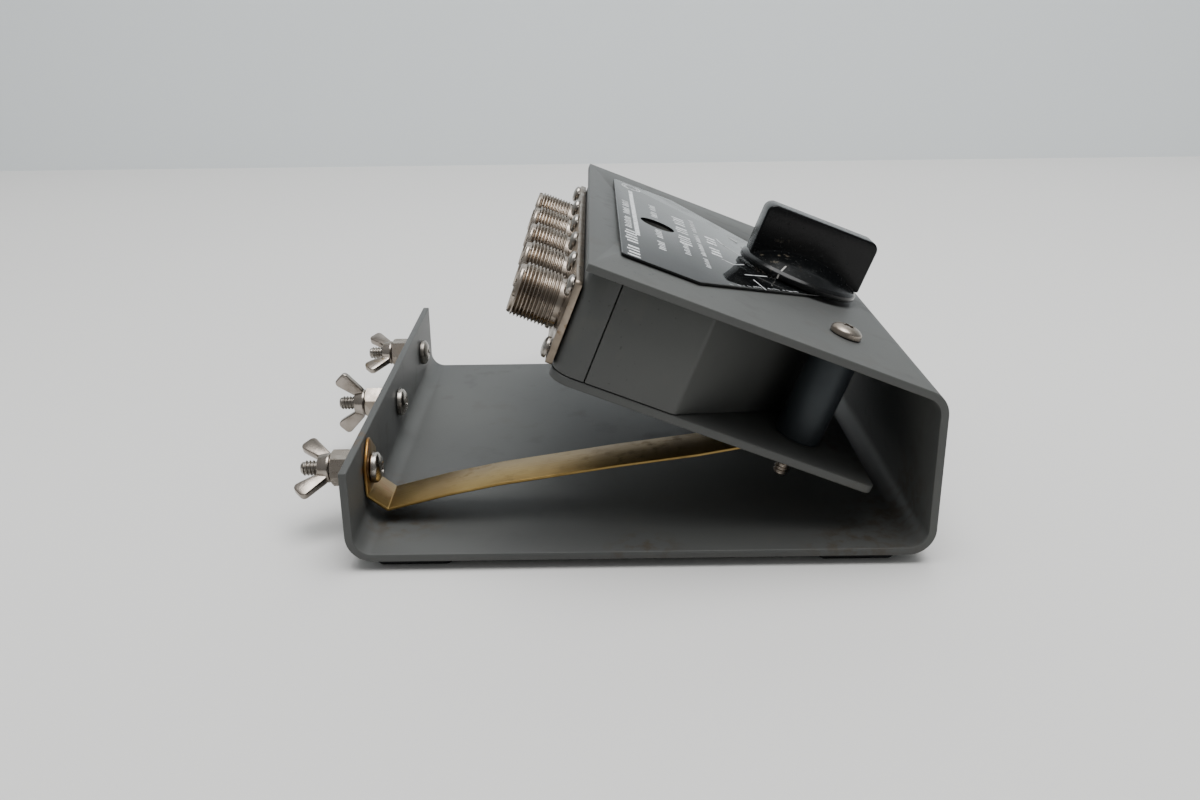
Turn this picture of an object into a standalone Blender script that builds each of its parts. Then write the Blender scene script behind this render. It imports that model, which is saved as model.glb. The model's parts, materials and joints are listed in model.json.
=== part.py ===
"""Coaxial antenna switch on a folded desk console, with an earth strap and three wing nut terminals.

Lengths are written in millimetres and turned to metres by MM. World axes: +X points to the operator's
side, +Y along the row of sockets, +Z up, with the origin under the middle of the part's box. Pieces that
sit on the sloping panel hang from the empty panel_axes: its +X runs down the slope, its +Z is the
panel's outward normal, and its origin is where the panel's top plane meets the front wall's outer face.
"""

import math

import bmesh
import bpy
from mathutils import Matrix, Vector

MM = 0.001

# General
GAP = 0.3
ROUND_STEPS = 24
FINE_STEPS = 40
SMALL_STEPS = 16
HOLE_STEPS = 16
CUT_MARGIN = 4.0

# Folded console
SHEET = 2.3
FRAME_LENGTH = 165.2
FRAME_WIDTH = 165.0
FLANGE_HEIGHT = 27.2
WALL_HEIGHT = 46.9
PANEL_SLOPE = math.radians(21.6)
PANEL_LENGTH = 103.2
BEND_RADIUS = 7.6
BEND_STEPS = 6

# Rubber feet
FOOT_SIZE = 24.0
FOOT_HEIGHT = 3.0
FOOT_DRAFT = 1.7
FOOT_INSET = 2.2
FOOT_FROM_BACK = 6.5
FOOT_FROM_FRONT = 9.0

# Switch housing, in plan from the slope's corner
HOUSING_END = 101.5
HOUSING_END_LENGTH = 9.5
HOUSING_NOSE = 14.0
HOUSING_MARGIN = 7.0
HOUSING_FROM_POST = 14.35
HOUSING_WALL = 3.0
HOUSING_CORNER = 6.0

# Lower plate
PLATE_THICKNESS = 2.5
PLATE_NOSE = 4.4
PLATE_NOSE_CORNER = 3.0

# Label plate on the panel
LABEL_THICKNESS = 0.8
LABEL_END = 94.0
LABEL_NOSE = 23.0
LABEL_INSET = 14.5
LABEL_TAPER_INSET = 13.8
LABEL_CORNER = 1.5

# Coaxial sockets and their bar
SOCKET_COUNT = 5
SOCKET_DEPTH = 20.0
SOCKET_ABOVE_FLOOR = 13.0
SOCKET_RADIUS = 7.94
SOCKET_REACH = 14.0
SOCKET_NECK_RADIUS = 7.2
SOCKET_NECK = 1.9
SOCKET_BORE = 6.1
SOCKET_RECESS = 7.0
SOCKET_SPIGOT = 6.3
SOCKET_TAIL = 6.0
SOCKET_NOTCH = 1.5
SOCKET_NOTCH_DEPTH = 0.9
BAR_THICKNESS = 2.0
BAR_MARGIN = 2.5
BAR_END = 4.75
BAR_HEIGHT = 24.8
BAR_CORNER = 1.2
INSULATOR_RADIUS = 4.3
INSULATOR_TAIL = 2.5
CONTACT_RADIUS = 2.5
CONTACT_BORE = 2.0
CONTACT_BORE_DEPTH = 9.0
TAIL_RADIUS = 1.2
TAIL_LENGTH = 6.0
STRIP_WIDTH = 5.0
STRIP_THICKNESS = 0.8

# Bar screws
BAR_SCREW_RADIUS = 1.4
BAR_SCREW_LENGTH = 7.0
BAR_SCREW_HEAD = 3.1
BAR_SCREW_HEAD_HEIGHT = 1.7
BAR_SCREW_ROW = 9.3

# Terminal and post screws
SCREW_RADIUS = 2.3
SCREW_HOLE = 2.7
SCREW_HEAD = 4.7
SCREW_HEAD_HEIGHT = 2.9
NUT_FLATS = 9.5
NUT_HEIGHT = 3.2

# Earth terminals on the flange
TERMINAL_COUNT = 3
TERMINAL_HEIGHT = 16.9
TERMINAL_REACH = 17.5
TERMINAL_NUT_WASHER = 2.0
TERMINAL_NUT_WASHER_RADIUS = 5.3
TERMINAL_NUT_HEX = 6.0
WING_HUB = 3.9
WING_HUB_RADIUS = 4.6
WING_HUB_TOP = 3.7
WING_LENGTH = 10.8
WING_REACH = 11.4
WING_THICKNESS = 2.5
WING_TURNS = (60.0, 0.0, 65.0)

# Posts between the panel and the lower plate
POST_RADIUS = 7.0
POST_FROM_CORNER = 25.0
POST_SCREW_SPARE = 10.2

# Earth strap, with its rise as shares of the way from the fold to the plate
STRAP_WIDTH = 16.0
STRAP_THICKNESS = 0.9
STRAP_TIP_WIDTH = 2.0
STRAP_TIP_HEIGHT = 26.2
STRAP_TIP_LENGTH = 6.0
STRAP_LEAVES_FLANGE = 11.2
STRAP_FOLD = (8.8, 6.6)
STRAP_RISE = ((0.162, 0.235), (0.303, 0.398), (0.623, 0.674), (0.833, 0.832))
STRAP_LANDS = 36.0
STRAP_END = 17.5

# Knob, rotor and bushing
KNOB_FROM_CORNER = 30.5
KNOB_LIFT = 0.5
KNOB_TOP = 21.4
KNOB_SKIRT_RADIUS = 19.9
KNOB_SKIRT = 3.0
KNOB_SKIRT_EDGE = 0.6
KNOB_BLADE_RADIUS = 18.6
KNOB_BLADE_CORNER = 2.6
KNOB_BLADE_THICKNESS = 9.6
KNOB_FOOT_THICKNESS = 26.0
KNOB_FLARE_HEIGHT = 5.4
KNOB_RECESS_RADIUS = 8.6
SHAFT_RADIUS = 3.0
SHAFT_TOP = 15.0
BUSHING_RADIUS = 4.7
BUSHING_BODY_RADIUS = 8.0
BUSHING_BODY = 6.0
BUSHING_NUT_FLATS = 12.7
BUSHING_NUT_HEIGHT = 2.2
BUSHING_ABOVE_NUT = 0.5
ROTOR_RADIUS = 8.0
ROTOR_HEIGHT = 4.0
ROTOR_PIN = 1.3
ROTOR_PIN_BELOW = 2.5
ROTOR_ARM = 15.5
ROTOR_ARM_WIDTH = 4.5
ROTOR_HUB_RING = 5.5
SWITCH_RADIUS = 14.0
SWITCH_STEP = math.radians(30.0)

# Surge arrester under the access hole
ARRESTER_FROM_CORNER = 80.0
ACCESS_RADIUS = 5.9
ARRESTER_HEAD = 5.5
ARRESTER_SINK = 3.0
ARRESTER_HEAD_HEIGHT = 4.0
ARRESTER_BODY = 4.0
ARRESTER_TIP_LENGTH = 2.3
ARRESTER_TIP = 1.5
ARRESTER_SLOT = 1.2
SLEEVE_RADIUS = 8.5
SLEEVE_LENGTH = 9.6

# Places that follow from the sizes
TERMINAL_PITCH = FRAME_WIDTH / TERMINAL_COUNT
POST_Y = TERMINAL_PITCH * (TERMINAL_COUNT - 1) / 2
HOUSING_WIDTH = FRAME_WIDTH - 2 * HOUSING_MARGIN
HOUSING_SEAM = HOUSING_END - HOUSING_END_LENGTH
FACET_OFFSET = POST_Y - POST_FROM_CORNER - HOUSING_FROM_POST * math.sqrt(2)
HOUSING_SHOULDER = HOUSING_WIDTH / 2 - FACET_OFFSET
LABEL_WIDTH = HOUSING_WIDTH - 2 * LABEL_INSET
LABEL_SHOULDER = LABEL_WIDTH / 2 - FACET_OFFSET + LABEL_TAPER_INSET * math.sqrt(2)
BAR_LENGTH = HOUSING_WIDTH - 2 * BAR_MARGIN
SOCKET_PITCH = (BAR_LENGTH - 2 * BAR_END) / SOCKET_COUNT
HOUSING_TOP = -(SHEET + GAP)
HOUSING_BOTTOM = -SOCKET_DEPTH - SOCKET_ABOVE_FLOOR
PLATE_TOP = HOUSING_BOTTOM - GAP
PLATE_BOTTOM = PLATE_TOP - PLATE_THICKNESS
POST_SCREW_REACH = POST_SCREW_SPARE - PLATE_BOTTOM
LABEL_TOP = GAP + LABEL_THICKNESS
KNOB_BASE = LABEL_TOP + KNOB_LIFT
BAR_BACK = HOUSING_END + GAP
BAR_FACE = BAR_BACK + BAR_THICKNESS
SOCKET_SEAT = BAR_FACE + GAP
SOCKET_RIM = SOCKET_SEAT + SOCKET_REACH
SOCKET_FLOOR = SOCKET_RIM - SOCKET_RECESS
SOCKET_BACK = HOUSING_END - HOUSING_WALL - SOCKET_TAIL
INSULATOR_BORE = CONTACT_RADIUS + GAP
WING_BASE = TERMINAL_NUT_WASHER + TERMINAL_NUT_HEX + 2 * GAP
PART_LEFT = -max(TERMINAL_REACH, WING_BASE + WING_LENGTH)
ORIGIN_X = -(PART_LEFT + FRAME_LENGTH) / 2
STRIP_TOP = -SOCKET_DEPTH + STRIP_THICKNESS / 2
ARM_BOTTOM = STRIP_TOP + GAP
ROTOR_BOTTOM = ARM_BOTTOM + STRIP_THICKNESS + GAP

PAINT_GREY = (0.20, 0.21, 0.205)
NICKEL = (0.50, 0.47, 0.43)
STEEL = (0.45, 0.44, 0.42)
BRASS = (0.48, 0.34, 0.15)
RUBBER = (0.015, 0.015, 0.016)
KNOB_BLACK = (0.012, 0.012, 0.014)
LABEL_GREY = (0.05, 0.05, 0.055)
POST_BLUE = (0.045, 0.055, 0.065)
PTFE = (0.72, 0.70, 0.64)


def clear_scene():
    for obj in list(bpy.data.objects):
        bpy.data.objects.remove(obj, do_unlink=True)


def new_collection(name):
    collection = bpy.data.collections.new(name)
    bpy.context.scene.collection.children.link(collection)
    return collection


def make_material(name, colour, roughness, metallic):
    material = bpy.data.materials.new(name)
    material.use_nodes = True
    shader = material.node_tree.nodes["Principled BSDF"]
    shader.inputs["Base Color"].default_value = (*colour, 1.0)
    shader.inputs["Roughness"].default_value = roughness
    shader.inputs["Metallic"].default_value = metallic
    return material


def metres(*lengths):
    return Vector([length * MM for length in lengths])


def place(obj, collection, parent=None, at=(0, 0, 0), turn=(0, 0, 0)):
    """Links an object, with its place in millimetres and its turn in radians under its parent."""
    collection.objects.link(obj)
    obj.parent = parent
    obj.location = metres(*at)
    obj.rotation_euler = turn
    return obj


def finish(obj, smooth=True):
    if smooth:
        obj.data.shade_smooth()
        obj.data.set_sharp_from_angle(angle=math.radians(35))
    return obj


def mesh_object(name, bm):
    mesh = bpy.data.meshes.new(name)
    bm.to_mesh(mesh)
    bm.free()
    return bpy.data.objects.new(name, mesh)


def arc(centre, radius, start, end, steps):
    """Points of an arc, in degrees, both ends included."""
    points = []
    for step in range(steps + 1):
        angle = math.radians(start + (end - start) * step / steps)
        points.append((centre[0] + radius * math.cos(angle), centre[1] + radius * math.sin(angle)))
    return points


def filleted(points, radii, steps, closed):
    """The outline with each corner replaced by an arc of its radius; 0 keeps the corner."""
    result = []
    count = len(points)
    for index, (point, radius) in enumerate(zip(points, radii)):
        corner = Vector(point)
        if radius == 0 or (not closed and index in (0, count - 1)):
            result.append(corner)
            continue
        back = (Vector(points[index - 1]) - corner).normalized()
        ahead = (Vector(points[(index + 1) % count]) - corner).normalized()
        half = back.angle(ahead) / 2
        reach = radius / math.tan(half)
        centre = corner + (back + ahead).normalized() * (radius / math.sin(half))
        first = corner + back * reach - centre
        last = corner + ahead * reach - centre
        sweep = first.angle_signed(last)
        for step in range(steps + 1):
            spoke = first.copy()
            spoke.rotate(Matrix.Rotation(-sweep * step / steps, 2))
            result.append(centre + spoke)
    return result


def turned(name, profile, steps=ROUND_STEPS):
    """A solid turned about Z from (radius, height) points that run down the outer side.

    A profile whose ends are off the axis is closed, so that it makes a ring.
    """
    bm = bmesh.new()
    corners = [bm.verts.new(metres(radius, 0, height)) for radius, height in profile]
    for first, second in zip(corners, corners[1:]):
        bm.edges.new((first, second))
    if profile[0][0] > 0:
        bm.edges.new((corners[-1], corners[0]))
    obj = mesh_object(name, bm)
    screw = obj.modifiers.new("turn", "SCREW")
    screw.axis = "Z"
    screw.steps = steps
    screw.render_steps = steps
    screw.use_merge_vertices = True
    screw.merge_threshold = 1e-6
    screw.use_smooth_shade = True
    return obj


def prism(name, outline, low, high, plane="XY"):
    """A flat outline extruded from low to high along the axis that plane leaves out."""
    axis = {"XY": 2, "XZ": 1, "YZ": 0}[plane]
    bm = bmesh.new()
    corners = []
    for first, second in outline:
        spot = [first, second]
        spot.insert(axis, low)
        corners.append(bm.verts.new(metres(*spot)))
    face = bm.faces.new(corners)
    grown = bmesh.ops.extrude_face_region(bm, geom=[face])
    moved = [item for item in grown["geom"] if isinstance(item, bmesh.types.BMVert)]
    shift = [0, 0, 0]
    shift[axis] = high - low
    bmesh.ops.translate(bm, verts=moved, vec=metres(*shift))
    bmesh.ops.recalc_face_normals(bm, faces=bm.faces)
    return mesh_object(name, bm)


def ribbon(name, path, widths, thickness, side):
    """A strip of sheet along an XZ path; side 1 or -1 says which face the path lies on."""
    bm = bmesh.new()
    near = []
    far = []
    for (x, z), width in zip(path, widths):
        near.append(bm.verts.new(metres(x, -width / 2, z)))
        far.append(bm.verts.new(metres(x, width / 2, z)))
    for index in range(len(near) - 1):
        bm.faces.new((near[index], near[index + 1], far[index + 1], far[index]))
    obj = mesh_object(name, bm)
    solidify = obj.modifiers.new("sheet", "SOLIDIFY")
    solidify.thickness = thickness * MM
    solidify.offset = side
    solidify.use_even_offset = True
    solidify.use_quality_normals = True
    return obj


def cylinder(name, radius, low, high, steps=ROUND_STEPS):
    return turned(name, [(0, high), (radius, high), (radius, low), (0, low)], steps)


def hexagon(flats):
    radius = flats / math.sqrt(3)
    return arc((0, 0), radius, 0, 300, 5)


def boolean(obj, other, operation="DIFFERENCE"):
    modifier = obj.modifiers.new(operation.lower(), "BOOLEAN")
    modifier.operation = operation
    modifier.solver = "EXACT"
    modifier.object = other


def as_cutter(obj, parent=None, at=(0, 0, 0), turn=(0, 0, 0)):
    place(obj, CUTTERS, parent, at, turn)
    obj.hide_render = True
    obj.display_type = "WIRE"
    return obj


def as_piece(obj, material, parent=None, at=(0, 0, 0), turn=(0, 0, 0), smooth=True):
    place(obj, PARTS, parent, at, turn)
    obj.data.materials.append(material)
    return finish(obj, smooth)


def empty(name, at, turn=(0, 0, 0), parent=None):
    return place(bpy.data.objects.new(name, None), PARTS, parent, at, turn)


def hole(obj, name, radius, low, high, parent, at, turn=(0, 0, 0), steps=HOLE_STEPS):
    """Drills obj with a cylinder along its own Z from low to high."""
    boolean(obj, as_cutter(cylinder(name, radius, low, high, steps), parent, at, turn))


def pan_head_screw(name, radius, length, head_radius, head_height, steps=ROUND_STEPS):
    """A screw along Z whose head sits on z = 0 and whose shank runs down to -length."""
    crown = [
        (0, head_height),
        (head_radius * 0.45, head_height * 0.95),
        (head_radius * 0.80, head_height * 0.72),
        (head_radius * 0.96, head_height * 0.42),
        (head_radius, 0),
        (radius, 0),
        (radius, -length + radius * 0.3),
        (radius * 0.75, -length),
        (0, -length),
    ]
    screw = turned(name, crown, steps)
    slot = head_radius * 0.17
    reach = head_radius * 0.62
    floor = head_height * 0.45
    for turn in (0, math.pi / 2):
        outline = [(-reach, -slot), (reach, -slot), (reach, slot), (-reach, slot)]
        cutter = prism(f"{name}_recess", outline, floor, head_height + CUT_MARGIN)
        boolean(screw, as_cutter(cutter, screw, turn=(0, 0, turn)))
    return screw


def make_console(materials):
    """The console: one sheet with an upturned flange, a base, a front wall and a sloping panel."""
    corner = (FRAME_LENGTH, WALL_HEIGHT)
    free_edge = (
        FRAME_LENGTH - PANEL_LENGTH * math.cos(PANEL_SLOPE),
        WALL_HEIGHT + PANEL_LENGTH * math.sin(PANEL_SLOPE),
    )
    outline = [(0, FLANGE_HEIGHT), (0, 0), (FRAME_LENGTH, 0), corner, free_edge]
    path = filleted(outline, [0, BEND_RADIUS, BEND_RADIUS, BEND_RADIUS, 0], BEND_STEPS, False)
    console = ribbon("console_frame", path, [FRAME_WIDTH] * len(path), SHEET, 1)
    as_piece(console, materials["paint"], at=(ORIGIN_X, 0, FOOT_HEIGHT))
    for index in range(TERMINAL_COUNT):
        at = (ORIGIN_X, terminal_y(index), FOOT_HEIGHT + TERMINAL_HEIGHT)
        hole(console, f"terminal_hole_{index + 1}", SCREW_HOLE, -CUT_MARGIN, CUT_MARGIN, None, at,
             (0, math.pi / 2, 0))
    panel_holes(console, "panel", -SHEET - CUT_MARGIN, CUT_MARGIN)
    for name, y in (("near", -POST_Y), ("far", POST_Y)):
        hole(console, f"panel_post_hole_{name}", SCREW_HOLE, -SHEET - CUT_MARGIN, CUT_MARGIN, AXES,
             (-POST_FROM_CORNER, y, 0))


def panel_holes(obj, name, low, high):
    """The bushing's hole and the access hole, which the panel and the label share."""
    hole(obj, f"{name}_bushing_hole", BUSHING_RADIUS + GAP, low, high, AXES, (-KNOB_FROM_CORNER, 0, 0))
    hole(obj, f"{name}_access_hole", ACCESS_RADIUS, low, high, AXES, (-ARRESTER_FROM_CORNER, 0, 0))


def make_feet(materials):
    """Four square pads under the base's corners, wider where they are stuck on."""
    side = FOOT_SIZE / 2
    back = FOOT_FROM_BACK + side
    front = FRAME_LENGTH - FOOT_FROM_FRONT - side
    spots = {
        "foot_back_near": (back, -1),
        "foot_back_far": (back, 1),
        "foot_front_near": (front, -1),
        "foot_front_far": (front, 1),
    }
    for name, (x, direction) in spots.items():
        square = [(-side, -side), (side, -side), (side, side), (-side, side)]
        foot = prism(name, filleted(square, [1.5] * 4, 3, True), 0, FOOT_HEIGHT - GAP)
        lower = [vertex for vertex in foot.data.vertices if vertex.co.z < 0.1 * MM]
        for vertex in lower:
            vertex.co.x *= 1 - FOOT_DRAFT / side
            vertex.co.y *= 1 - FOOT_DRAFT / side
        y = direction * (FRAME_WIDTH / 2 - FOOT_INSET - side)
        as_piece(foot, materials["rubber"], at=(ORIGIN_X + x, y, 0))


def housing_path(inset=0.0):
    """Half the housing's plan, from the seam round to the middle of its nose, as (x, y) on the slope."""
    side = -(HOUSING_WIDTH / 2 - inset)
    shoulder = HOUSING_SHOULDER - inset * math.tan(math.radians(22.5))
    nose = HOUSING_NOSE + inset
    return [(-HOUSING_SEAM, side), (-shoulder, side), (-nose, side + shoulder - nose)]


def closed_wall(outer, inner):
    return outer + inner[::-1]


def both_sides(path):
    return path + [(x, -y) for x, y in reversed(path)]


def make_housing(materials):
    """The hexagonal wall, the wrap-round connector end behind the seam, and the plate below."""
    radii = [0, 2.5, 2.5, 2.5, 2.5, 0]
    outer = filleted(both_sides(housing_path()), radii, 3, False)
    inner = filleted(both_sides(housing_path(HOUSING_WALL)), [0] * 6, 1, False)
    wall = prism("housing_wall", closed_wall(outer, inner), HOUSING_BOTTOM, HOUSING_TOP)
    as_piece(wall, materials["paint"], AXES)

    side = HOUSING_WIDTH / 2
    start = HOUSING_SEAM + GAP
    radius = HOUSING_CORNER
    outer = [(-start, -side), (-HOUSING_END, -side), (-HOUSING_END, side), (-start, side)]
    outer = filleted(outer, [0, radius, radius, 0], 6, False)
    inside = side - HOUSING_WALL
    back = HOUSING_END - HOUSING_WALL
    inner = [(-start, -inside), (-back, -inside), (-back, inside), (-start, inside)]
    inner_radius = radius - HOUSING_WALL
    inner = filleted(inner, [0, inner_radius, inner_radius, 0], 6, False)
    end = prism("connector_end", closed_wall(outer, inner), HOUSING_BOTTOM, HOUSING_TOP)
    as_piece(end, materials["paint"], AXES)
    drill_for_sockets(end, "end", back - CUT_MARGIN, HOUSING_END + CUT_MARGIN)

    nose = PLATE_NOSE_CORNER
    plan = [(-HOUSING_END, -side), (-PLATE_NOSE, -side), (-PLATE_NOSE, side), (-HOUSING_END, side)]
    plan = filleted(plan, [radius, nose, nose, radius], 5, True)
    plate = prism("lower_plate", plan, PLATE_BOTTOM, PLATE_TOP)
    as_piece(plate, materials["paint"], AXES)
    for name, y in (("near", -POST_Y), ("far", POST_Y)):
        hole(plate, f"plate_post_hole_{name}", SCREW_HOLE, PLATE_BOTTOM - CUT_MARGIN,
             PLATE_TOP + CUT_MARGIN, AXES, (-POST_FROM_CORNER, y, 0))


def drill_for_sockets(obj, name, low, high):
    """Holes along the slope for the sockets' spigots and the bar's screws."""
    along = (0, -math.pi / 2, 0)
    for index in range(SOCKET_COUNT):
        hole(obj, f"{name}_socket_hole_{index + 1}", SOCKET_SPIGOT + GAP, low, high, AXES,
             (0, socket_y(index), -SOCKET_DEPTH), along)
    for index in range(SOCKET_COUNT + 1):
        for row in (1, -1):
            at = (0, socket_y(index - 0.5), -SOCKET_DEPTH + row * BAR_SCREW_ROW)
            hole(obj, f"{name}_screw_hole", BAR_SCREW_RADIUS + GAP, low, high, AXES, at, along,
                 HOLE_STEPS // 2)


def make_label(materials):
    """The engraved plate on the panel: straight sides that taper to a nose under the knob."""
    side = LABEL_WIDTH / 2
    nose = side - (LABEL_SHOULDER - LABEL_NOSE)
    half = [(-LABEL_END, -side), (-LABEL_SHOULDER, -side), (-LABEL_NOSE, -nose)]
    outline = filleted(both_sides(half), [LABEL_CORNER, 0, 0, 0, 0, LABEL_CORNER], 3, True)
    label = prism("label_plate", outline, GAP, LABEL_TOP)
    as_piece(label, materials["label"], AXES)
    panel_holes(label, "label", -CUT_MARGIN, CUT_MARGIN)


def make_bar(materials):
    """The plated bar behind the sockets, with its two rows of screws."""
    half_length = BAR_LENGTH / 2
    half_height = BAR_HEIGHT / 2
    middle = -SOCKET_DEPTH
    outline = [
        (-half_length, middle - half_height),
        (half_length, middle - half_height),
        (half_length, middle + half_height),
        (-half_length, middle + half_height),
    ]
    outline = filleted(outline, [BAR_CORNER] * 4, 3, True)
    bar = prism("connector_bar", outline, -BAR_FACE, -BAR_BACK, "YZ")
    as_piece(bar, materials["nickel"], AXES)
    drill_for_sockets(bar, "bar", BAR_BACK - CUT_MARGIN, BAR_FACE + CUT_MARGIN)

    for row, direction in (("top", 1), ("bottom", -1)):
        for index in range(SOCKET_COUNT + 1):
            screw = pan_head_screw(f"bar_screw_{row}_{index + 1}", BAR_SCREW_RADIUS, BAR_SCREW_LENGTH,
                                   BAR_SCREW_HEAD, BAR_SCREW_HEAD_HEIGHT, SMALL_STEPS)
            at = (-SOCKET_SEAT, socket_y(index - 0.5), -SOCKET_DEPTH + direction * BAR_SCREW_ROW)
            as_piece(screw, materials["nickel"], AXES, at, (0, -math.pi / 2, 0))


def make_sockets(materials):
    """Five threaded sockets, each a shell, an insulator and a contact with its strip to the switch."""
    along = (0, -math.pi / 2, 0)
    for index in range(SOCKET_COUNT):
        number = index + 1
        at = (0, socket_y(index), -SOCKET_DEPTH)
        bore = INSULATOR_RADIUS + GAP
        neck_top = SOCKET_SEAT + SOCKET_NECK
        shell = turned(
            f"socket_shell_{number}",
            [
                (SOCKET_RADIUS - 0.5, SOCKET_RIM),
                (SOCKET_RADIUS, SOCKET_RIM - 0.6),
                (SOCKET_RADIUS, neck_top + 0.6),
                (SOCKET_NECK_RADIUS, neck_top),
                (SOCKET_NECK_RADIUS, SOCKET_SEAT),
                (SOCKET_SPIGOT, SOCKET_SEAT),
                (SOCKET_SPIGOT, SOCKET_BACK),
                (bore, SOCKET_BACK),
                (bore, SOCKET_FLOOR),
                (SOCKET_BORE, SOCKET_FLOOR),
                (SOCKET_BORE, SOCKET_RIM),
            ],
        )
        as_piece(shell, materials["nickel"], AXES, at, along)
        half = SOCKET_NOTCH / 2
        reach = SOCKET_RADIUS + CUT_MARGIN
        outline = [(-reach, -half), (reach, -half), (reach, half), (-reach, half)]
        for turn in (0, math.pi / 2):
            notch = prism(f"socket_notch_{number}", outline, SOCKET_RIM - SOCKET_NOTCH_DEPTH,
                          SOCKET_RIM + CUT_MARGIN)
            boolean(shell, as_cutter(notch, shell, turn=(0, 0, turn)))

        face = SOCKET_FLOOR + GAP
        back = SOCKET_BACK - INSULATOR_TAIL
        insulator = turned(
            f"socket_insulator_{number}",
            [
                (INSULATOR_RADIUS, face),
                (INSULATOR_RADIUS, back),
                (INSULATOR_BORE, back),
                (INSULATOR_BORE, face),
            ],
        )
        as_piece(insulator, materials["ptfe"], AXES, at, along)
        make_contact(index, face, back, materials)


def make_contact(index, face, back, materials):
    """A socket's centre contact, and the flat strip from its tail to the switch."""
    number = index + 1
    y = socket_y(index)
    tail = back - TAIL_LENGTH
    contact = turned(
        f"centre_contact_{number}",
        [
            (0, face + GAP),
            (CONTACT_RADIUS, face + GAP),
            (CONTACT_RADIUS, back),
            (TAIL_RADIUS, back - 0.8),
            (TAIL_RADIUS, tail),
            (0, tail),
        ],
    )
    as_piece(contact, materials["brass"], AXES, (0, y, -SOCKET_DEPTH), (0, -math.pi / 2, 0))
    start = Vector((-(tail + 2.0), y))
    target = contact_spot(index)
    run = target - start
    half = STRIP_WIDTH / 2
    outline = [(0, -half), (run.length + half, -half), (run.length + half, half), (0, half)]
    strip = prism(f"contact_strip_{number}", outline, -STRIP_THICKNESS / 2, STRIP_THICKNESS / 2)
    turn = (0, 0, math.atan2(run.y, run.x))
    boolean(contact, as_cutter(strip, AXES, (start.x, start.y, -SOCKET_DEPTH), turn), "UNION")
    hole(contact, f"contact_bore_{number}", CONTACT_BORE, face - CONTACT_BORE_DEPTH,
         face + CUT_MARGIN, AXES, (0, y, -SOCKET_DEPTH), (0, -math.pi / 2, 0))
    if index == COMMON:
        hole(contact, "common_ring_hole", ROTOR_PIN + GAP / 2, -SOCKET_DEPTH - CUT_MARGIN,
             -SOCKET_DEPTH + CUT_MARGIN, AXES, (-KNOB_FROM_CORNER, 0, 0))


def contact_spot(index):
    """Where a strip ends: the common one on the rotor's axis, the others on its circle."""
    centre = Vector((-KNOB_FROM_CORNER, 0))
    if index == COMMON:
        return centre + Vector((STRIP_WIDTH, 0))
    angle = (index - COMMON) * SWITCH_STEP
    return centre + Vector((-math.cos(angle), math.sin(angle))) * SWITCH_RADIUS


def make_terminals(materials):
    """Three earth terminals: a screw from inside the flange, a washered nut and a wing nut."""
    outward = (0, math.pi / 2, math.pi)
    for index, side in enumerate(("near", "middle", "far")):
        y = terminal_y(index)
        seat = SHEET + GAP
        if index == 0:
            seat += STRAP_THICKNESS + GAP
        height = FOOT_HEIGHT + TERMINAL_HEIGHT
        screw = pan_head_screw(f"terminal_screw_{side}", SCREW_RADIUS, TERMINAL_REACH + seat, SCREW_HEAD,
                               SCREW_HEAD_HEIGHT)
        as_piece(screw, materials["steel"], None, (ORIGIN_X + seat, y, height), (0, math.pi / 2, 0))

        washer = TERMINAL_NUT_WASHER
        nut = prism(f"terminal_nut_{side}", hexagon(NUT_FLATS), washer + GAP,
                    washer + GAP + TERMINAL_NUT_HEX)
        as_piece(nut, materials["nickel"], None, (ORIGIN_X, y, height), outward, smooth=False)
        ring = cylinder(f"terminal_washer_{side}", TERMINAL_NUT_WASHER_RADIUS, GAP, washer + 2 * GAP)
        boolean(nut, as_cutter(ring, nut), "UNION")
        hole(nut, f"terminal_nut_bore_{side}", SCREW_HOLE, -CUT_MARGIN,
             washer + TERMINAL_NUT_HEX + CUT_MARGIN, nut, (0, 0, 0))
        make_wing_nut(side, y, height, WING_TURNS[index], materials)


def make_wing_nut(side, y, height, turn, materials):
    """A forged wing nut: a hub and two swept wings, turning on its screw's axis."""
    hub = turned(
        f"wing_nut_{side}",
        [
            (0, WING_HUB),
            (WING_HUB_TOP, WING_HUB),
            (WING_HUB_RADIUS, 0.8),
            (WING_HUB_RADIUS, 0),
            (0, 0),
        ],
    )
    outer = WING_REACH
    blade = [
        (2.9, 0.3),
        (WING_HUB_RADIUS, 0.3),
        (outer * 0.70, WING_LENGTH * 0.33),
        (outer * 0.93, WING_LENGTH * 0.60),
        (outer, WING_LENGTH * 0.76),
        (outer * 0.94, WING_LENGTH * 0.88),
        (outer * 0.70, WING_LENGTH),
        (outer * 0.56, WING_LENGTH * 0.95),
        (2.9, WING_HUB * 0.95),
    ]
    spin = (0, -math.pi / 2, 0)
    holder = empty(f"wing_nut_axis_{side}", (ORIGIN_X - WING_BASE, y, height), spin)
    as_piece(hub, materials["nickel"], holder, turn=(0, 0, math.radians(turn)))
    half = WING_THICKNESS / 2
    for name, direction in (("upper", 1), ("lower", -1)):
        outline = [(direction * radius, rise) for radius, rise in blade]
        wing = prism(f"wing_{name}_{side}", outline, -half, half, "XZ")
        boolean(hub, as_cutter(wing, hub), "UNION")
    hole(hub, f"wing_nut_bore_{side}", SCREW_HOLE, -CUT_MARGIN, WING_LENGTH + CUT_MARGIN, hub, (0, 0, 0))


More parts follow.
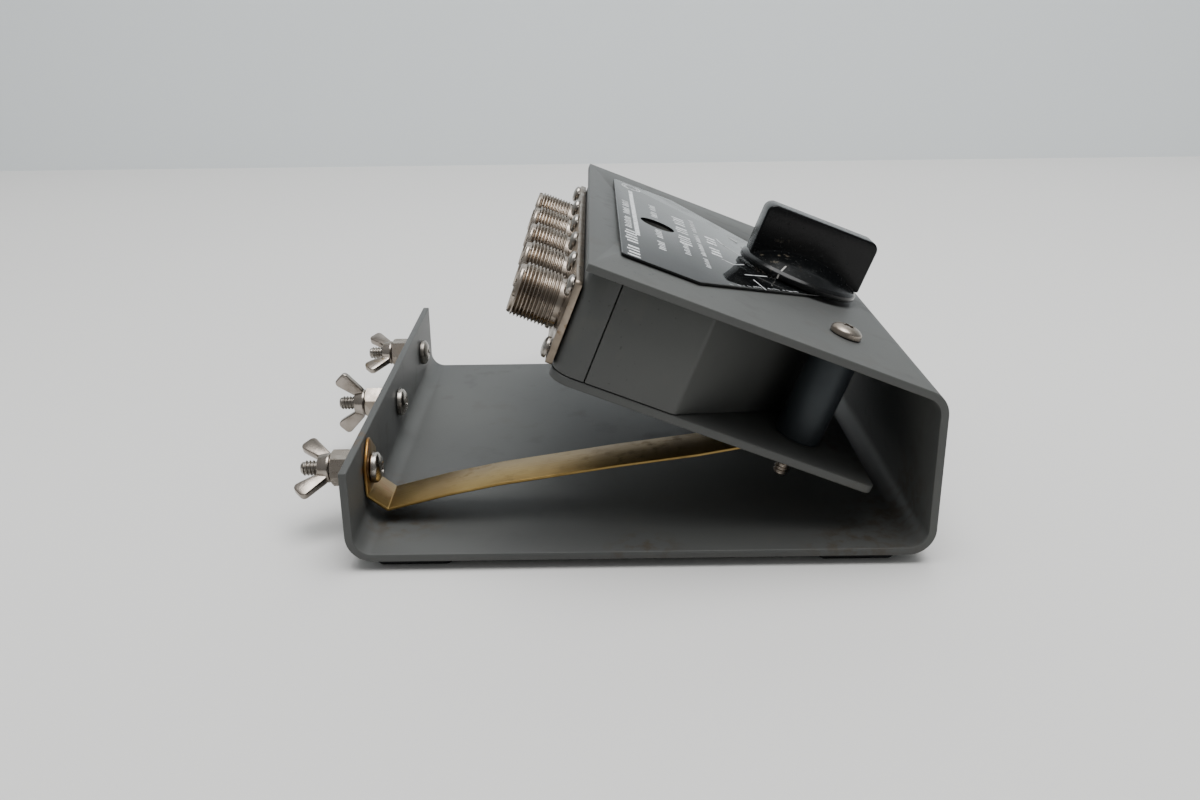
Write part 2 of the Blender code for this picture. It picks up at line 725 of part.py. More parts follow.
def make_posts(materials):
    """Two round posts, each clamped between the panel and the plate by a long screw and its nut."""
    for name, y in (("near", -POST_Y), ("far", POST_Y)):
        post = turned(
            f"post_{name}",
            [
                (POST_RADIUS, HOUSING_TOP),
                (POST_RADIUS, HOUSING_BOTTOM),
                (SCREW_HOLE, HOUSING_BOTTOM),
                (SCREW_HOLE, HOUSING_TOP),
            ],
            32,
        )
        spot = (-POST_FROM_CORNER, y, 0)
        as_piece(post, materials["post"], AXES, spot)
        screw = pan_head_screw(f"post_screw_{name}", SCREW_RADIUS, POST_SCREW_REACH + GAP, SCREW_HEAD,
                               SCREW_HEAD_HEIGHT)
        as_piece(screw, materials["nickel"], AXES, (-POST_FROM_CORNER, y, GAP))
        top = PLATE_BOTTOM - GAP
        if name == "near":
            top -= STRAP_THICKNESS + GAP
        nut = prism(f"post_nut_{name}", hexagon(NUT_FLATS), top - NUT_HEIGHT, top)
        as_piece(nut, materials["nickel"], AXES, spot, smooth=False)
        hole(nut, f"post_nut_bore_{name}", SCREW_HOLE, top - NUT_HEIGHT - CUT_MARGIN, top + CUT_MARGIN,
             AXES, spot)


def slope_to_frame(distance, height):
    """The console's (x, z), from its outer bottom corner, of a point given on the slope."""
    sine = math.sin(PANEL_SLOPE)
    cosine = math.cos(PANEL_SLOPE)
    x = FRAME_LENGTH - distance * cosine + height * sine
    z = WALL_HEIGHT + distance * sine + height * cosine
    return x, z


def make_strap(materials):
    """The earth strap: a pointed tab on the flange, a fold, a long rise and a foot under the plate."""
    tab_x = SHEET + GAP + STRAP_THICKNESS / 2
    under = PLATE_BOTTOM - GAP - STRAP_THICKNESS / 2
    fold = Vector(STRAP_FOLD)
    run = Vector(slope_to_frame(STRAP_LANDS, under)) - fold
    path = [
        (tab_x, STRAP_TIP_HEIGHT),
        (tab_x, STRAP_TIP_HEIGHT - STRAP_TIP_LENGTH),
        (tab_x, STRAP_LEAVES_FLANGE),
        fold,
        *[fold + Vector((run.x * along, run.y * up)) for along, up in STRAP_RISE],
        fold + run,
        slope_to_frame(STRAP_END, under),
    ]
    widths = [STRAP_TIP_WIDTH] + [STRAP_WIDTH] * (len(path) - 1)
    strap = ribbon("earth_strap", path, widths, STRAP_THICKNESS, 0)
    as_piece(strap, materials["brass"], at=(ORIGIN_X, terminal_y(0), FOOT_HEIGHT))
    at = (ORIGIN_X, terminal_y(0), FOOT_HEIGHT + TERMINAL_HEIGHT)
    hole(strap, "strap_terminal_hole", SCREW_HOLE, 0, 2 * CUT_MARGIN, None, at, (0, math.pi / 2, 0))
    hole(strap, "strap_post_hole", SCREW_HOLE, PLATE_BOTTOM - CUT_MARGIN, PLATE_BOTTOM + GAP / 2, AXES,
         (-POST_FROM_CORNER, -POST_Y, 0))


def knob_section():
    """The knob's section across its blade: rounded top, flat sides, and a flare down to the skirt."""
    half = KNOB_BLADE_THICKNESS / 2
    base = KNOB_BASE + KNOB_SKIRT / 2
    flare_top = KNOB_BASE + KNOB_SKIRT + KNOB_FLARE_HEIGHT
    spread = KNOB_FOOT_THICKNESS / 2 - half
    side = [(half + spread, base)]
    for y, z in arc((0, 0), 1, 270, 180, 6):
        side.append((half + spread * (1 + y), flare_top + KNOB_FLARE_HEIGHT * z))
    side = [side[0]] + side[1:]
    side.append((half, KNOB_TOP - 1.2))
    side.append((half - 0.4, KNOB_TOP - 0.35))
    side.append((half - 1.2, KNOB_TOP))
    return side + [(-y, z) for y, z in reversed(side)]


def make_knob(materials):
    """The bar knob, with a recess for the bushing's nut and a bore for the shaft."""
    spot = (-KNOB_FROM_CORNER, 0, 0)
    corner = KNOB_BLADE_CORNER
    crown = arc((KNOB_BLADE_RADIUS - corner, KNOB_TOP - corner), corner, 90, 0, 4)
    knob = turned("knob", [(0, KNOB_TOP), *crown, (KNOB_BLADE_RADIUS, KNOB_BASE + 1), (0, KNOB_BASE + 1)],
                  FINE_STEPS)
    as_piece(knob, materials["knob"], AXES, spot)
    reach = KNOB_BLADE_RADIUS + CUT_MARGIN
    blade = prism("knob_blade", knob_section(), -reach, reach, "YZ")
    boolean(knob, as_cutter(blade, knob), "INTERSECT")
    top = KNOB_BASE + KNOB_SKIRT
    edge = KNOB_SKIRT_EDGE
    skirt = turned(
        "knob_skirt",
        [
            (0, top + 0.8),
            (KNOB_SKIRT_RADIUS * 0.6, top + 0.6),
            (KNOB_SKIRT_RADIUS - edge, top),
            (KNOB_SKIRT_RADIUS, top - edge),
            (KNOB_SKIRT_RADIUS, KNOB_BASE),
            (0, KNOB_BASE),
        ],
        FINE_STEPS,
    )
    boolean(knob, as_cutter(skirt, knob), "UNION")
    recess = LABEL_TOP + GAP + BUSHING_NUT_HEIGHT + BUSHING_ABOVE_NUT + GAP
    hole(knob, "knob_recess", KNOB_RECESS_RADIUS, -CUT_MARGIN, recess, knob, (0, 0, 0))
    hole(knob, "knob_bore", SHAFT_RADIUS + GAP, -CUT_MARGIN, SHAFT_TOP + GAP, knob, (0, 0, 0))


def make_switch(materials):
    """What the knob turns, and the bushing that carries it in the panel."""
    spot = (-KNOB_FROM_CORNER, 0, 0)
    pin_end = -SOCKET_DEPTH - ROTOR_PIN_BELOW
    rotor = turned(
        "rotor_shaft",
        [
            (0, SHAFT_TOP),
            (SHAFT_RADIUS, SHAFT_TOP),
            (SHAFT_RADIUS, ROTOR_BOTTOM + ROTOR_HEIGHT),
            (ROTOR_RADIUS, ROTOR_BOTTOM + ROTOR_HEIGHT),
            (ROTOR_RADIUS, ROTOR_BOTTOM),
            (ROTOR_PIN, ROTOR_BOTTOM),
            (ROTOR_PIN, pin_end),
            (0, pin_end),
        ],
    )
    as_piece(rotor, materials["ptfe"], AXES, spot)

    ring = cylinder("rotor_contact", ROTOR_HUB_RING, ARM_BOTTOM, ARM_BOTTOM + STRIP_THICKNESS)
    as_piece(ring, materials["brass"], AXES, spot)
    half = ROTOR_ARM_WIDTH / 2
    arm_outline = [(-ROTOR_ARM, -half), (0, -half), (0, half), (-ROTOR_ARM, half)]
    arm = prism("rotor_arm", arm_outline, ARM_BOTTOM, ARM_BOTTOM + STRIP_THICKNESS)
    boolean(ring, as_cutter(arm, ring), "UNION")
    hole(ring, "rotor_contact_hole", ROTOR_PIN + GAP, ARM_BOTTOM - CUT_MARGIN, ARM_BOTTOM + CUT_MARGIN,
         ring, (0, 0, 0))

    nut_bottom = LABEL_TOP + GAP
    bushing_top = nut_bottom + BUSHING_NUT_HEIGHT + BUSHING_ABOVE_NUT
    bushing = turned(
        "shaft_bushing",
        [
            (BUSHING_RADIUS, bushing_top),
            (BUSHING_RADIUS, HOUSING_TOP),
            (BUSHING_BODY_RADIUS, HOUSING_TOP),
            (BUSHING_BODY_RADIUS, HOUSING_TOP - BUSHING_BODY),
            (SHAFT_RADIUS + GAP, HOUSING_TOP - BUSHING_BODY),
            (SHAFT_RADIUS + GAP, bushing_top),
        ],
    )
    as_piece(bushing, materials["nickel"], AXES, spot)
    nut = prism("bushing_nut", hexagon(BUSHING_NUT_FLATS), nut_bottom, nut_bottom + BUSHING_NUT_HEIGHT)
    as_piece(nut, materials["nickel"], AXES, spot, smooth=False)
    hole(nut, "bushing_nut_bore", BUSHING_RADIUS + GAP, -CUT_MARGIN, bushing_top + CUT_MARGIN, AXES, spot)


def make_arrester(materials):
    """The surge arrester, a slotted cartridge in a sleeve under the access hole."""
    spot = (-ARRESTER_FROM_CORNER, 0, 0)
    sleeve_top = HOUSING_TOP
    sleeve = turned(
        "arrester_sleeve",
        [
            (SLEEVE_RADIUS, sleeve_top),
            (SLEEVE_RADIUS, sleeve_top - SLEEVE_LENGTH),
            (ACCESS_RADIUS, sleeve_top - SLEEVE_LENGTH),
            (ACCESS_RADIUS, sleeve_top),
        ],
    )
    as_piece(sleeve, materials["nickel"], AXES, spot)
    head = -ARRESTER_SINK
    body = head - ARRESTER_HEAD_HEIGHT
    tip = STRIP_TOP + GAP + ARRESTER_TIP_LENGTH
    arrester = turned(
        "arrester",
        [
            (0, head),
            (ARRESTER_HEAD, head),
            (ARRESTER_HEAD, body),
            (ARRESTER_BODY, body),
            (ARRESTER_BODY, tip),
            (ARRESTER_TIP, tip),
            (ARRESTER_TIP, STRIP_TOP + GAP),
            (0, STRIP_TOP + GAP),
        ],
    )
    as_piece(arrester, materials["nickel"], AXES, spot)
    half = ARRESTER_SLOT / 2
    reach = ARRESTER_HEAD + CUT_MARGIN
    outline = [(-half, -reach), (half, -reach), (half, reach), (-half, reach)]
    slot = prism("arrester_slot", outline, head - ARRESTER_SLOT, head + CUT_MARGIN)
    boolean(arrester, as_cutter(slot, arrester))


def socket_y(index):
    return (index - (SOCKET_COUNT - 1) / 2) * SOCKET_PITCH


def terminal_y(index):
    return (index - (TERMINAL_COUNT - 1) / 2) * TERMINAL_PITCH


def make_materials():
    return {
        "paint": make_material("grey_paint", PAINT_GREY, 0.45, 0.0),
        "nickel": make_material("nickel_plate", NICKEL, 0.28, 1.0),
        "steel": make_material("dull_steel", STEEL, 0.35, 1.0),
        "brass": make_material("tarnished_brass", BRASS, 0.38, 1.0),
        "rubber": make_material("black_rubber", RUBBER, 0.8, 0.0),
        "knob": make_material("black_phenolic", KNOB_BLACK, 0.3, 0.0),
        "label": make_material("black_label", LABEL_GREY, 0.25, 0.0),
        "post": make_material("dark_sleeve", POST_BLUE, 0.5, 0.0),
        "ptfe": make_material("white_insulator", PTFE, 0.5, 0.0),
    }


COMMON = SOCKET_COUNT // 2

clear_scene()
PARTS = new_collection("coaxial_switch")
CUTTERS = new_collection("cutters")
AXES = empty("panel_axes", (ORIGIN_X + FRAME_LENGTH, 0, FOOT_HEIGHT + WALL_HEIGHT), (0, PANEL_SLOPE, 0))

MATERIALS = make_materials()
make_console(MATERIALS)
make_feet(MATERIALS)
make_housing(MATERIALS)
make_label(MATERIALS)
make_bar(MATERIALS)
make_sockets(MATERIALS)
make_terminals(MATERIALS)
make_posts(MATERIALS)
make_strap(MATERIALS)
make_knob(MATERIALS)
make_switch(MATERIALS)
make_arrester(MATERIALS)
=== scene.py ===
"""Looks of the coaxial antenna switch: a folded desk console with a bar knob, five threaded sockets,
an earth strap and three wing nut terminals. Pieces are shaped in millimetres, in the world's axes or in the
sloping panel's: x runs down the slope to 0 at its lower corner, y along the sockets, z out of the panel."""

import json
import math
import random

import bmesh
import bpy
from mathutils import Matrix, Vector


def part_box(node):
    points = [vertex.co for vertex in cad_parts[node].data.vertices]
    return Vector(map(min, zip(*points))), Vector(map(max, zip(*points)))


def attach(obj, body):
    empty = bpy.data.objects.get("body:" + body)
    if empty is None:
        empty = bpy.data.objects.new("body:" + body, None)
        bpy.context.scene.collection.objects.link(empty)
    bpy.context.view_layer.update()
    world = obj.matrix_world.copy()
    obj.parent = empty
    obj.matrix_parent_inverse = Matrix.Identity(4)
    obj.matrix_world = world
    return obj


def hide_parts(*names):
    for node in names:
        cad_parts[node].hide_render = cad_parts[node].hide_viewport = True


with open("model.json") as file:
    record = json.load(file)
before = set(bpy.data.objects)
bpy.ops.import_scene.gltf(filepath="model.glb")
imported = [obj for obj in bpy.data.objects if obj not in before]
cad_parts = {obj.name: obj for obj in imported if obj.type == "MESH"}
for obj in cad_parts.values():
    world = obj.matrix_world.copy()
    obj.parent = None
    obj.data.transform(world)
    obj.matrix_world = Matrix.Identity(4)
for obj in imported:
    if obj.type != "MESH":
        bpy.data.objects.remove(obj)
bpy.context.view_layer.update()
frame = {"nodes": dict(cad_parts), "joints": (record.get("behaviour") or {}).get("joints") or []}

# The folded sheet, in millimetres, and the gap that pieces keep between them
GAP = 0.3
SHEET = 2.3
BEND_RADIUS = 7.6
FLANGE_HEIGHT = 27.2
PANEL_SLOPE = math.radians(21.6)
PANEL_LENGTH = 103.2
ACCESS_HOLE = 5.9
FOOT_CORNER = 2.0
FOOT_TAPER = 0.87

# The housing and its plate: distances up the slope from the panel's lower corner, half widths and heights
HOUSING_END = 101.5
HOUSING_SEAM = 92.0
HOUSING_SHOULDER = 65.8
HOUSING_NOSE = 14.0
HOUSING_HALF = 75.5
HOUSING_WALL = 3.0
HOUSING_TOP = -2.6
HOUSING_BOTTOM = -33.0
HOUSING_SLANT = math.radians(45)
WALL_CORNER = 2.5
END_CORNER = 6.0
PLATE_TOP = -33.3
PLATE_BOTTOM = -35.8
PLATE_FRONT = 4.4
PLATE_FRONT_CORNER = 3.0

# The label
LABEL_TOP = 1.1
LABEL_BACK = 94.0
LABEL_HALF = 61.0
LABEL_SHOULDER = 70.8
LABEL_NOSE = 23.0
LABEL_CORNER = 1.5

# The bar, the sockets and the bar's screws
BAR_HALF_LENGTH = 73.0
BAR_HALF_HEIGHT = 12.4
BAR_THICKNESS = 2.0
BAR_CORNER = 1.2
SOCKET_DEPTH = 20.0
SOCKET_PITCH = 27.3
SOCKET_SEAT = 104.1
SOCKET_RIM = 118.1
SOCKET_THREAD = 1.058
SPIGOT_HOLE = 6.6
SCREW_HOLE = 1.7
SCREW_ROW = 9.3
DRILL_START = 96.0
DRILL_END = 106.0

# Large screws with their nuts, posts and terminals
LARGE_SCREW = 2.3
LARGE_CLEARANCE = 2.7
SCREW_THREAD = 1.058
NUT_FLATS = 9.5
POST_UP = 25.0
TERMINAL_Y = 55.0
TERMINAL_HEIGHT = 16.9

# The earth strap
STRAP_THICKNESS = 0.9
STRAP_HALF = 8.0
STRAP_TIP_HALF = 1.0

# The knob and the arrester beside it
KNOB_UP = 30.5
KNOB_BASE = 1.6
KNOB_TOP = 21.4
KNOB_RADIUS = 20.2
BLADE_HALF = 4.8
ARRESTER_UP = 80.0

console_low, console_high = (corner * 1000 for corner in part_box("console_frame"))
FLANGE_X = console_low.x
FLOOR_Z = console_low.z
FRAME_HALF = console_high.y
TERMINAL_Z = FLOOR_Z + TERMINAL_HEIGHT
KNOB_JOINT = next(joint for joint in frame["joints"] if joint["name"] == "knob_turn")

# Places, which turn a shape's millimetres into metres
UNMOVED = Matrix.Identity(4)
WORLD = Matrix.Scale(0.001, 4)
NORMAL = Vector(KNOB_JOINT["axis"])
DOWNHILL = Vector((NORMAL.z, 0, -NORMAL.x))
CORNER = Vector(KNOB_JOINT["pos_m"]) + DOWNHILL * KNOB_UP * 0.001
CORNER_X = CORNER.x * 1000
CORNER_Z = CORNER.z * 1000
PANEL = Matrix.Translation(CORNER) @ Matrix.Rotation(PANEL_SLOPE, 4, "Y") @ WORLD
UPHILL = Matrix.Rotation(-math.pi / 2, 4, "Y")


def on_panel(up, y):
    """The place of a piece on the panel's normal, this far up the slope."""
    return PANEL @ Matrix.Translation((-up, y, 0))


def up_slope(y):
    """The place of a piece that is turned about a socket's axis, with its heights as distances up."""
    return PANEL @ Matrix.Translation((0, y, -SOCKET_DEPTH)) @ UPHILL


def from_flange(y, out=0.0):
    """The place of a piece that stands out of the flange's outer face."""
    return WORLD @ Matrix.Translation((FLANGE_X - out, y, TERMINAL_Z)) @ UPHILL


def socket_y(index):
    """The y of a socket's axis; a half step between two sockets is a screw's."""
    return (index - 2) * SOCKET_PITCH


# Shaping


def filleted(points, radii, steps, closed):
    """The outline with each corner replaced by an arc of its radius; 0 keeps the corner."""
    result = []
    count = len(points)
    for index, (point, radius) in enumerate(zip(points, radii)):
        corner = Vector(point)
        if radius == 0 or (not closed and index in (0, count - 1)):
            result.append(corner)
            continue
        back = (Vector(points[index - 1]) - corner).normalized()
        ahead = (Vector(points[(index + 1) % count]) - corner).normalized()
        half = back.angle(ahead) / 2
        reach = radius / math.tan(half)
        centre = corner + (back + ahead).normalized() * (radius / math.sin(half))
        first = corner + back * reach - centre
        last = corner + ahead * reach - centre
        sweep = first.angle_signed(last)
        for step in range(steps + 1):
            spoke = first.copy()
            spoke.rotate(Matrix.Rotation(-sweep * step / steps, 2))
            result.append(centre + spoke)
    return result


def offset_path(points, distance):
    """An open path moved sideways by a distance, to the left of its direction."""
    moved = []
    for index, point in enumerate(points):
        sides = []
        for start, end in ((index - 1, index), (index, index + 1)):
            if start >= 0 and end < len(points):
                run = (Vector(points[end]) - Vector(points[start])).normalized()
                sides.append(Vector((-run.y, run.x)))
        if len(sides) == 1:
            shift = sides[0]
        else:
            shift = (sides[0] + sides[1]) / (1 + sides[0].dot(sides[1]))
        moved.append(Vector(point) + shift * distance)
    return moved


def rectangle(low, high):
    """The corners of a rectangle, from its lowest and its highest."""
    return [(low[0], low[1]), (high[0], low[1]), (high[0], high[1]), (low[0], high[1])]


def both_sides(path):
    """A path on the near side, carried on by its mirror on the far side."""
    return path + [(x, -y) for x, y in reversed(path)]


def slab(outline, low, high, plane="XY", shape=None):
    """A flat outline extruded from low to high along the axis that plane leaves out."""
    shape = shape or bmesh.new()
    axis = {"XY": 2, "XZ": 1, "YZ": 0}[plane]
    corners = []
    for first, second in outline:
        spot = [first, second]
        spot.insert(axis, low)
        corners.append(shape.verts.new(spot))
    face = shape.faces.new(corners)
    grown = bmesh.ops.extrude_face_region(shape, geom=[face])["geom"]
    shift = [0, 0, 0]
    shift[axis] = high - low
    moved = [item for item in grown if isinstance(item, bmesh.types.BMVert)]
    bmesh.ops.translate(shape, verts=moved, vec=shift)
    bmesh.ops.recalc_face_normals(shape, faces=shape.faces)
    return shape


def block(low, high, shape=None):
    """A box between two opposite corners."""
    return slab(rectangle(low, high), low[2], high[2], shape=shape)


def turned(profile, steps=64, shape=None, sweep=2 * math.pi, start=0.0):
    """A solid turned about z from (radius, height) points; one whose ends are off the axis is a ring."""
    shape = shape or bmesh.new()
    direction = Vector((math.cos(start), math.sin(start), 0))
    points = [shape.verts.new(direction * radius + Vector((0, 0, height))) for radius, height in profile]
    whole = sweep == 2 * math.pi
    if whole:
        edges = [shape.edges.new(pair) for pair in zip(points, points[1:])]
        if profile[0][0] > 0:
            edges.append(shape.edges.new((points[-1], points[0])))
        geom = points + edges
    else:
        geom = [shape.faces.new(points)]
    bmesh.ops.spin(shape, geom=geom, cent=(0, 0, 0), axis=(0, 0, 1), dvec=(0, 0, 0), angle=sweep,
                   steps=steps, use_merge=whole, use_normal_flip=False, use_duplicate=False)
    bmesh.ops.remove_doubles(shape, verts=shape.verts, dist=0.0005)
    bmesh.ops.recalc_face_normals(shape, faces=shape.faces)
    return shape


def pin(radius, low, high, steps):
    """A plain round pin."""
    return turned([(0, high), (radius, high), (radius, low), (0, low)], steps)


def ridge(shape, root, crest, pitch, low, high, steps):
    """A helical thread's ridge on a shank, sunk a little into it and run out to the root at both ends."""
    turns = (high - low) / pitch - 1
    foot = root - 0.12
    profile = [(foot, 0), (crest, 0.42 * pitch), (crest, 0.58 * pitch), (foot, pitch)]
    before = set(shape.verts)
    corners = [shape.verts.new((radius, 0, low + height)) for radius, height in profile]
    face = shape.faces.new(corners)
    bmesh.ops.spin(shape, geom=[face], cent=(0, 0, 0), axis=(0, 0, 1), dvec=(0, 0, pitch / steps),
                   angle=2 * math.pi * turns, steps=round(turns * steps), use_merge=False,
                   use_normal_flip=False, use_duplicate=False)
    run_out = 0.8 * pitch
    for vertex in [vertex for vertex in shape.verts if vertex not in before]:
        fade = min(vertex.co.z - low, high - vertex.co.z) / run_out
        if fade < 1:
            radius = vertex.co.xy.length
            wanted = min(radius, foot + (crest - foot) * max(fade, 0))
            vertex.co.xy *= wanted / radius
    bmesh.ops.recalc_face_normals(shape, faces=shape.faces)


def soften(shape, width, segments, angle):
    """Rounds the edges that turn by more than an angle."""
    limit = math.radians(angle)
    edges = [edge for edge in shape.edges if edge.is_manifold and edge.calc_face_angle(0) > limit]
    bmesh.ops.bevel(shape, geom=edges, offset=width, offset_type="OFFSET", affect="EDGES",
                    segments=segments, profile=0.5, material=-1, clamp_overlap=True)


def mesh_of(name, shape, place):
    """Turns the shape in millimetres into a mesh at its place."""
    bmesh.ops.transform(shape, matrix=place, verts=shape.verts)
    mesh = bpy.data.meshes.new(name)
    shape.to_mesh(mesh)
    shape.free()
    return mesh


def copy_of(mesh):
    """A shape that starts as a copy of a mesh."""
    shape = bmesh.new()
    shape.from_mesh(mesh)
    return shape


def join(shape, other):
    """Adds another shape to a shape."""
    shape.from_mesh(mesh_of("joined", other, UNMOVED))


def piece(name, mesh, finishes, stands_for=(), body="console", crease=35):
    """Shows a mesh as a piece of the object, riding on a body and standing for its nodes."""
    obj = bpy.data.objects.new(name, mesh)
    bpy.context.scene.collection.objects.link(obj)
    for finish in finishes:
        mesh.materials.append(finish)
    mesh.shade_smooth()
    mesh.set_sharp_from_angle(angle=math.radians(crease))
    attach(obj, body)
    if stands_for:
        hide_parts(*stands_for)
    return obj


def cutter(name, shape, place):
    """A hidden object that other pieces are cut with."""
    obj = bpy.data.objects.new(name, mesh_of(name, shape, place))
    bpy.context.scene.collection.objects.link(obj)
    obj.hide_render = True
    obj.display_type = "WIRE"
    return obj


def cut(obj, tool, operation="DIFFERENCE"):
    """Cuts a tool out of an object, or keeps what they share."""
    modifier = obj.modifiers.new(operation.lower(), "BOOLEAN")
    modifier.operation = operation
    modifier.solver = "EXACT"
    modifier.object = tool


def carved(shape, tools, operation="DIFFERENCE"):
    """The shape with tools cut out of it, or what it shares with them, as a new shape."""
    obj = cutter("carving", shape, UNMOVED)
    helpers = [cutter("carving_tool", tool, UNMOVED) for tool in tools]
    for helper in helpers:
        cut(obj, helper, operation)
    bpy.context.view_layer.update()
    result = bmesh.new()
    result.from_mesh(obj.evaluated_get(bpy.context.evaluated_depsgraph_get()).to_mesh())
    for helper in [obj, *helpers]:
        bpy.data.objects.remove(helper, do_unlink=True)
    bmesh.ops.remove_doubles(result, verts=result.verts, dist=0.001)
    return result


# Finishes


def colour(hex_value):
    """The linear colour of an sRGB hex value."""
    channels = [int(hex_value[place:place + 2], 16) / 255 for place in (1, 3, 5)]
    linear = [channel / 12.92 if channel <= 0.04045 else ((channel + 0.055) / 1.055) ** 2.4
              for channel in channels]
    return (*linear, 1.0)


def add(tree, kind, settings, inputs):
    """Adds a shader node with its settings, and with a value or a link on each named input."""
    made = tree.nodes.new("ShaderNode" + kind)
    for name, value in settings.items():
        setattr(made, name, value)
    for socket, value in inputs.items():
        if isinstance(value, bpy.types.NodeSocket):
            tree.links.new(value, made.inputs[socket])
        else:
            made.inputs[socket].default_value = value
    return made


def new_finish(name, **constants):
    """A material with its shader, the tree to add patterns to and the object's own coordinates."""
    material = bpy.data.materials.new(name)
    material.use_nodes = True
    tree = material.node_tree
    shader = tree.nodes["Principled BSDF"]
    for socket, value in constants.items():
        shader.inputs[socket.replace("_", " ")].default_value = value
    place = add(tree, "TexCoord", {}, {}).outputs["Object"]
    return material, tree, shader, place


def patches(tree, place, size, low, high, detail=3.0, stretch=None):
    """A mask of soft patches this many millimetres wide; low and high are where it starts and ends."""
    vector = place
    if stretch:
        vector = add(tree, "Mapping", {}, {"Vector": place, "Scale": stretch}).outputs[0]
    noise = add(tree, "TexNoise", {}, {"Vector": vector, "Scale": 1000 / size, "Detail": detail})
    span = {"Value": noise.outputs[0], "From Min": low, "From Max": high}
    return add(tree, "MapRange", {}, span).outputs[0]


def near_spot(tree, place, spot, reach):
    """A mask that is 1 at a spot, in world millimetres, and fades out over its reach."""
    centre = [length * 0.001 for length in spot]
    away = add(tree, "VectorMath", {"operation": "DISTANCE"}, {0: place, 1: centre})
    span = {"Value": away.outputs["Value"], "From Min": reach * 0.001, "From Max": 0.0}
    return add(tree, "MapRange", {"interpolation_type": "SMOOTHSTEP"}, span).outputs[0]


def both(tree, first, second):
    """A mask of what two masks share."""
    return add(tree, "Math", {"operation": "MULTIPLY"}, {0: first, 1: second}).outputs[0]


def tint(tree, mask, base, other):
    """Mixes a colour, a hex value or a pattern's own, into another by a mask."""
    values = [colour(value) if isinstance(value, str) else value for value in (base, other)]
    mix = add(tree, "Mix", {"data_type": "RGBA"}, {0: mask, 6: values[0], 7: values[1]})
    return mix.outputs[2]


def marked(tree, place, mask, marks, base, other):
    """Mixes a colour into another near each of the marks, where the mask lets it."""
    for spot, reach in marks:
        base = tint(tree, both(tree, near_spot(tree, place, spot, reach), mask), base, other)
    return base


def bumped(tree, shader, height, depth):
    """Raises the surface by a height pattern, to a depth in millimetres."""
    bump = add(tree, "Bump", {}, {"Height": height, "Distance": depth * 0.001, "Strength": 1.0})
    tree.links.new(bump.outputs[0], shader.inputs["Normal"])


def dulled(tree, shader, mask, low, high):
    """Makes the surface rougher by a mask, from low where the mask is 0 to high where it is 1."""
    rough = add(tree, "MapRange", {}, {"Value": mask, "To Min": low, "To Max": high})
    tree.links.new(rough.outputs[0], shader.inputs["Roughness"])


# Marks on the finishes: the middle of each, in world millimetres, and its reach
SMUDGES = [((-60, -60, 6), 20), ((-66, -40, 8), 18), ((84, -62, 9), 26), ((70, -80, 6), 22),
           ((10, -81, 5), 16), ((66, -50, 24), 14)]
STAINS = [((-70, -57, 28), 9), ((-70, -61, 22), 8), ((-69, -54, 11), 8)]
SPECKS = [((-2, -60, 88), 60)]
BLADE_DUST = [((57, -10, 71), 11)]
KNOB_HAZE = [((64, -14, 68), 22)]


def grey_enamel():
    """Sprayed and baked grey enamel on steel: even and satin, with dust, smudges and a fine orange peel."""
    material, tree, shader, place = new_finish("grey_enamel", Roughness=0.5, IOR=1.35)
    base = tint(tree, patches(tree, place, 60, 0.35, 0.65), "#474847", "#4d4e4c")
    dust = patches(tree, place, 9, 0.56, 0.8, 6)
    base = tint(tree, both(tree, dust, patches(tree, place, 40, 0.4, 0.7)), base, "#55544f")
    smudge = patches(tree, place, 3.5, 0.45, 0.62, 5)
    base = marked(tree, place, smudge, SMUDGES, base, "#443e37")
    base = marked(tree, place, smudge, STAINS, base, "#5c452c")
    specks = both(tree, patches(tree, place, 1.3, 0.68, 0.72, 1), patches(tree, place, 14, 0.45, 0.6))
    base = marked(tree, place, specks, SPECKS, base, "#2a2c2a")
    tree.links.new(base, shader.inputs["Base Color"])
    dulled(tree, shader, dust, 0.48, 0.6)
    bumped(tree, shader, patches(tree, place, 0.9, 0.2, 0.8, 2), 0.012)
    return material


def label_enamel():
    """Glossy black enamel on a thin metal label: black with clear mirror images, which waves in it bend."""
    material, tree, shader, place = new_finish("glossy_black_label", Roughness=0.06, IOR=1.46)
    rubs = patches(tree, place, 7, 0.45, 0.75, 6)
    base = tint(tree, rubs, "#0e0f10", "#1c1d1d")
    tree.links.new(base, shader.inputs["Base Color"])
    dulled(tree, shader, rubs, 0.05, 0.12)
    bumped(tree, shader, patches(tree, place, 26, 0.2, 0.8, 2), 0.03)
    return material


def label_ink():
    """White screen print on the label, flat and slightly worn."""
    material, tree, shader, place = new_finish("white_print", Roughness=0.5)
    wear = patches(tree, place, 1.1, 0.52, 0.66, 3)
    base = tint(tree, wear, "#d6d8d9", "#9b9d9e")
    tree.links.new(base, shader.inputs["Base Color"])
    return material


def plated(name, bright, dull, roughness, tarnish="#7a6a55", grain=None):
    """Plated metal: warm and pale, with soft dull clouds, rare darker spots and a grain that blurs it.
    A plate's real grain is too fine to show, so it is drawn 0.8 mm wide."""
    material, tree, shader, place = new_finish(name, Metallic=1.0, Roughness=roughness)
    cloud = patches(tree, place, 5, 0.35, 0.7, 5)
    base = tint(tree, cloud, bright, dull)
    rare = patches(tree, place, 2.2, 0.58, 0.72, 4)
    base = tint(tree, both(tree, rare, patches(tree, place, 11, 0.45, 0.65)), base, tarnish)
    tree.links.new(base, shader.inputs["Base Color"])
    dulled(tree, shader, cloud, roughness * 0.8, roughness * 1.5)
    bumped(tree, shader, patches(tree, place, 0.8, 0.3, 0.7, 3, grain), 0.01)
    return material


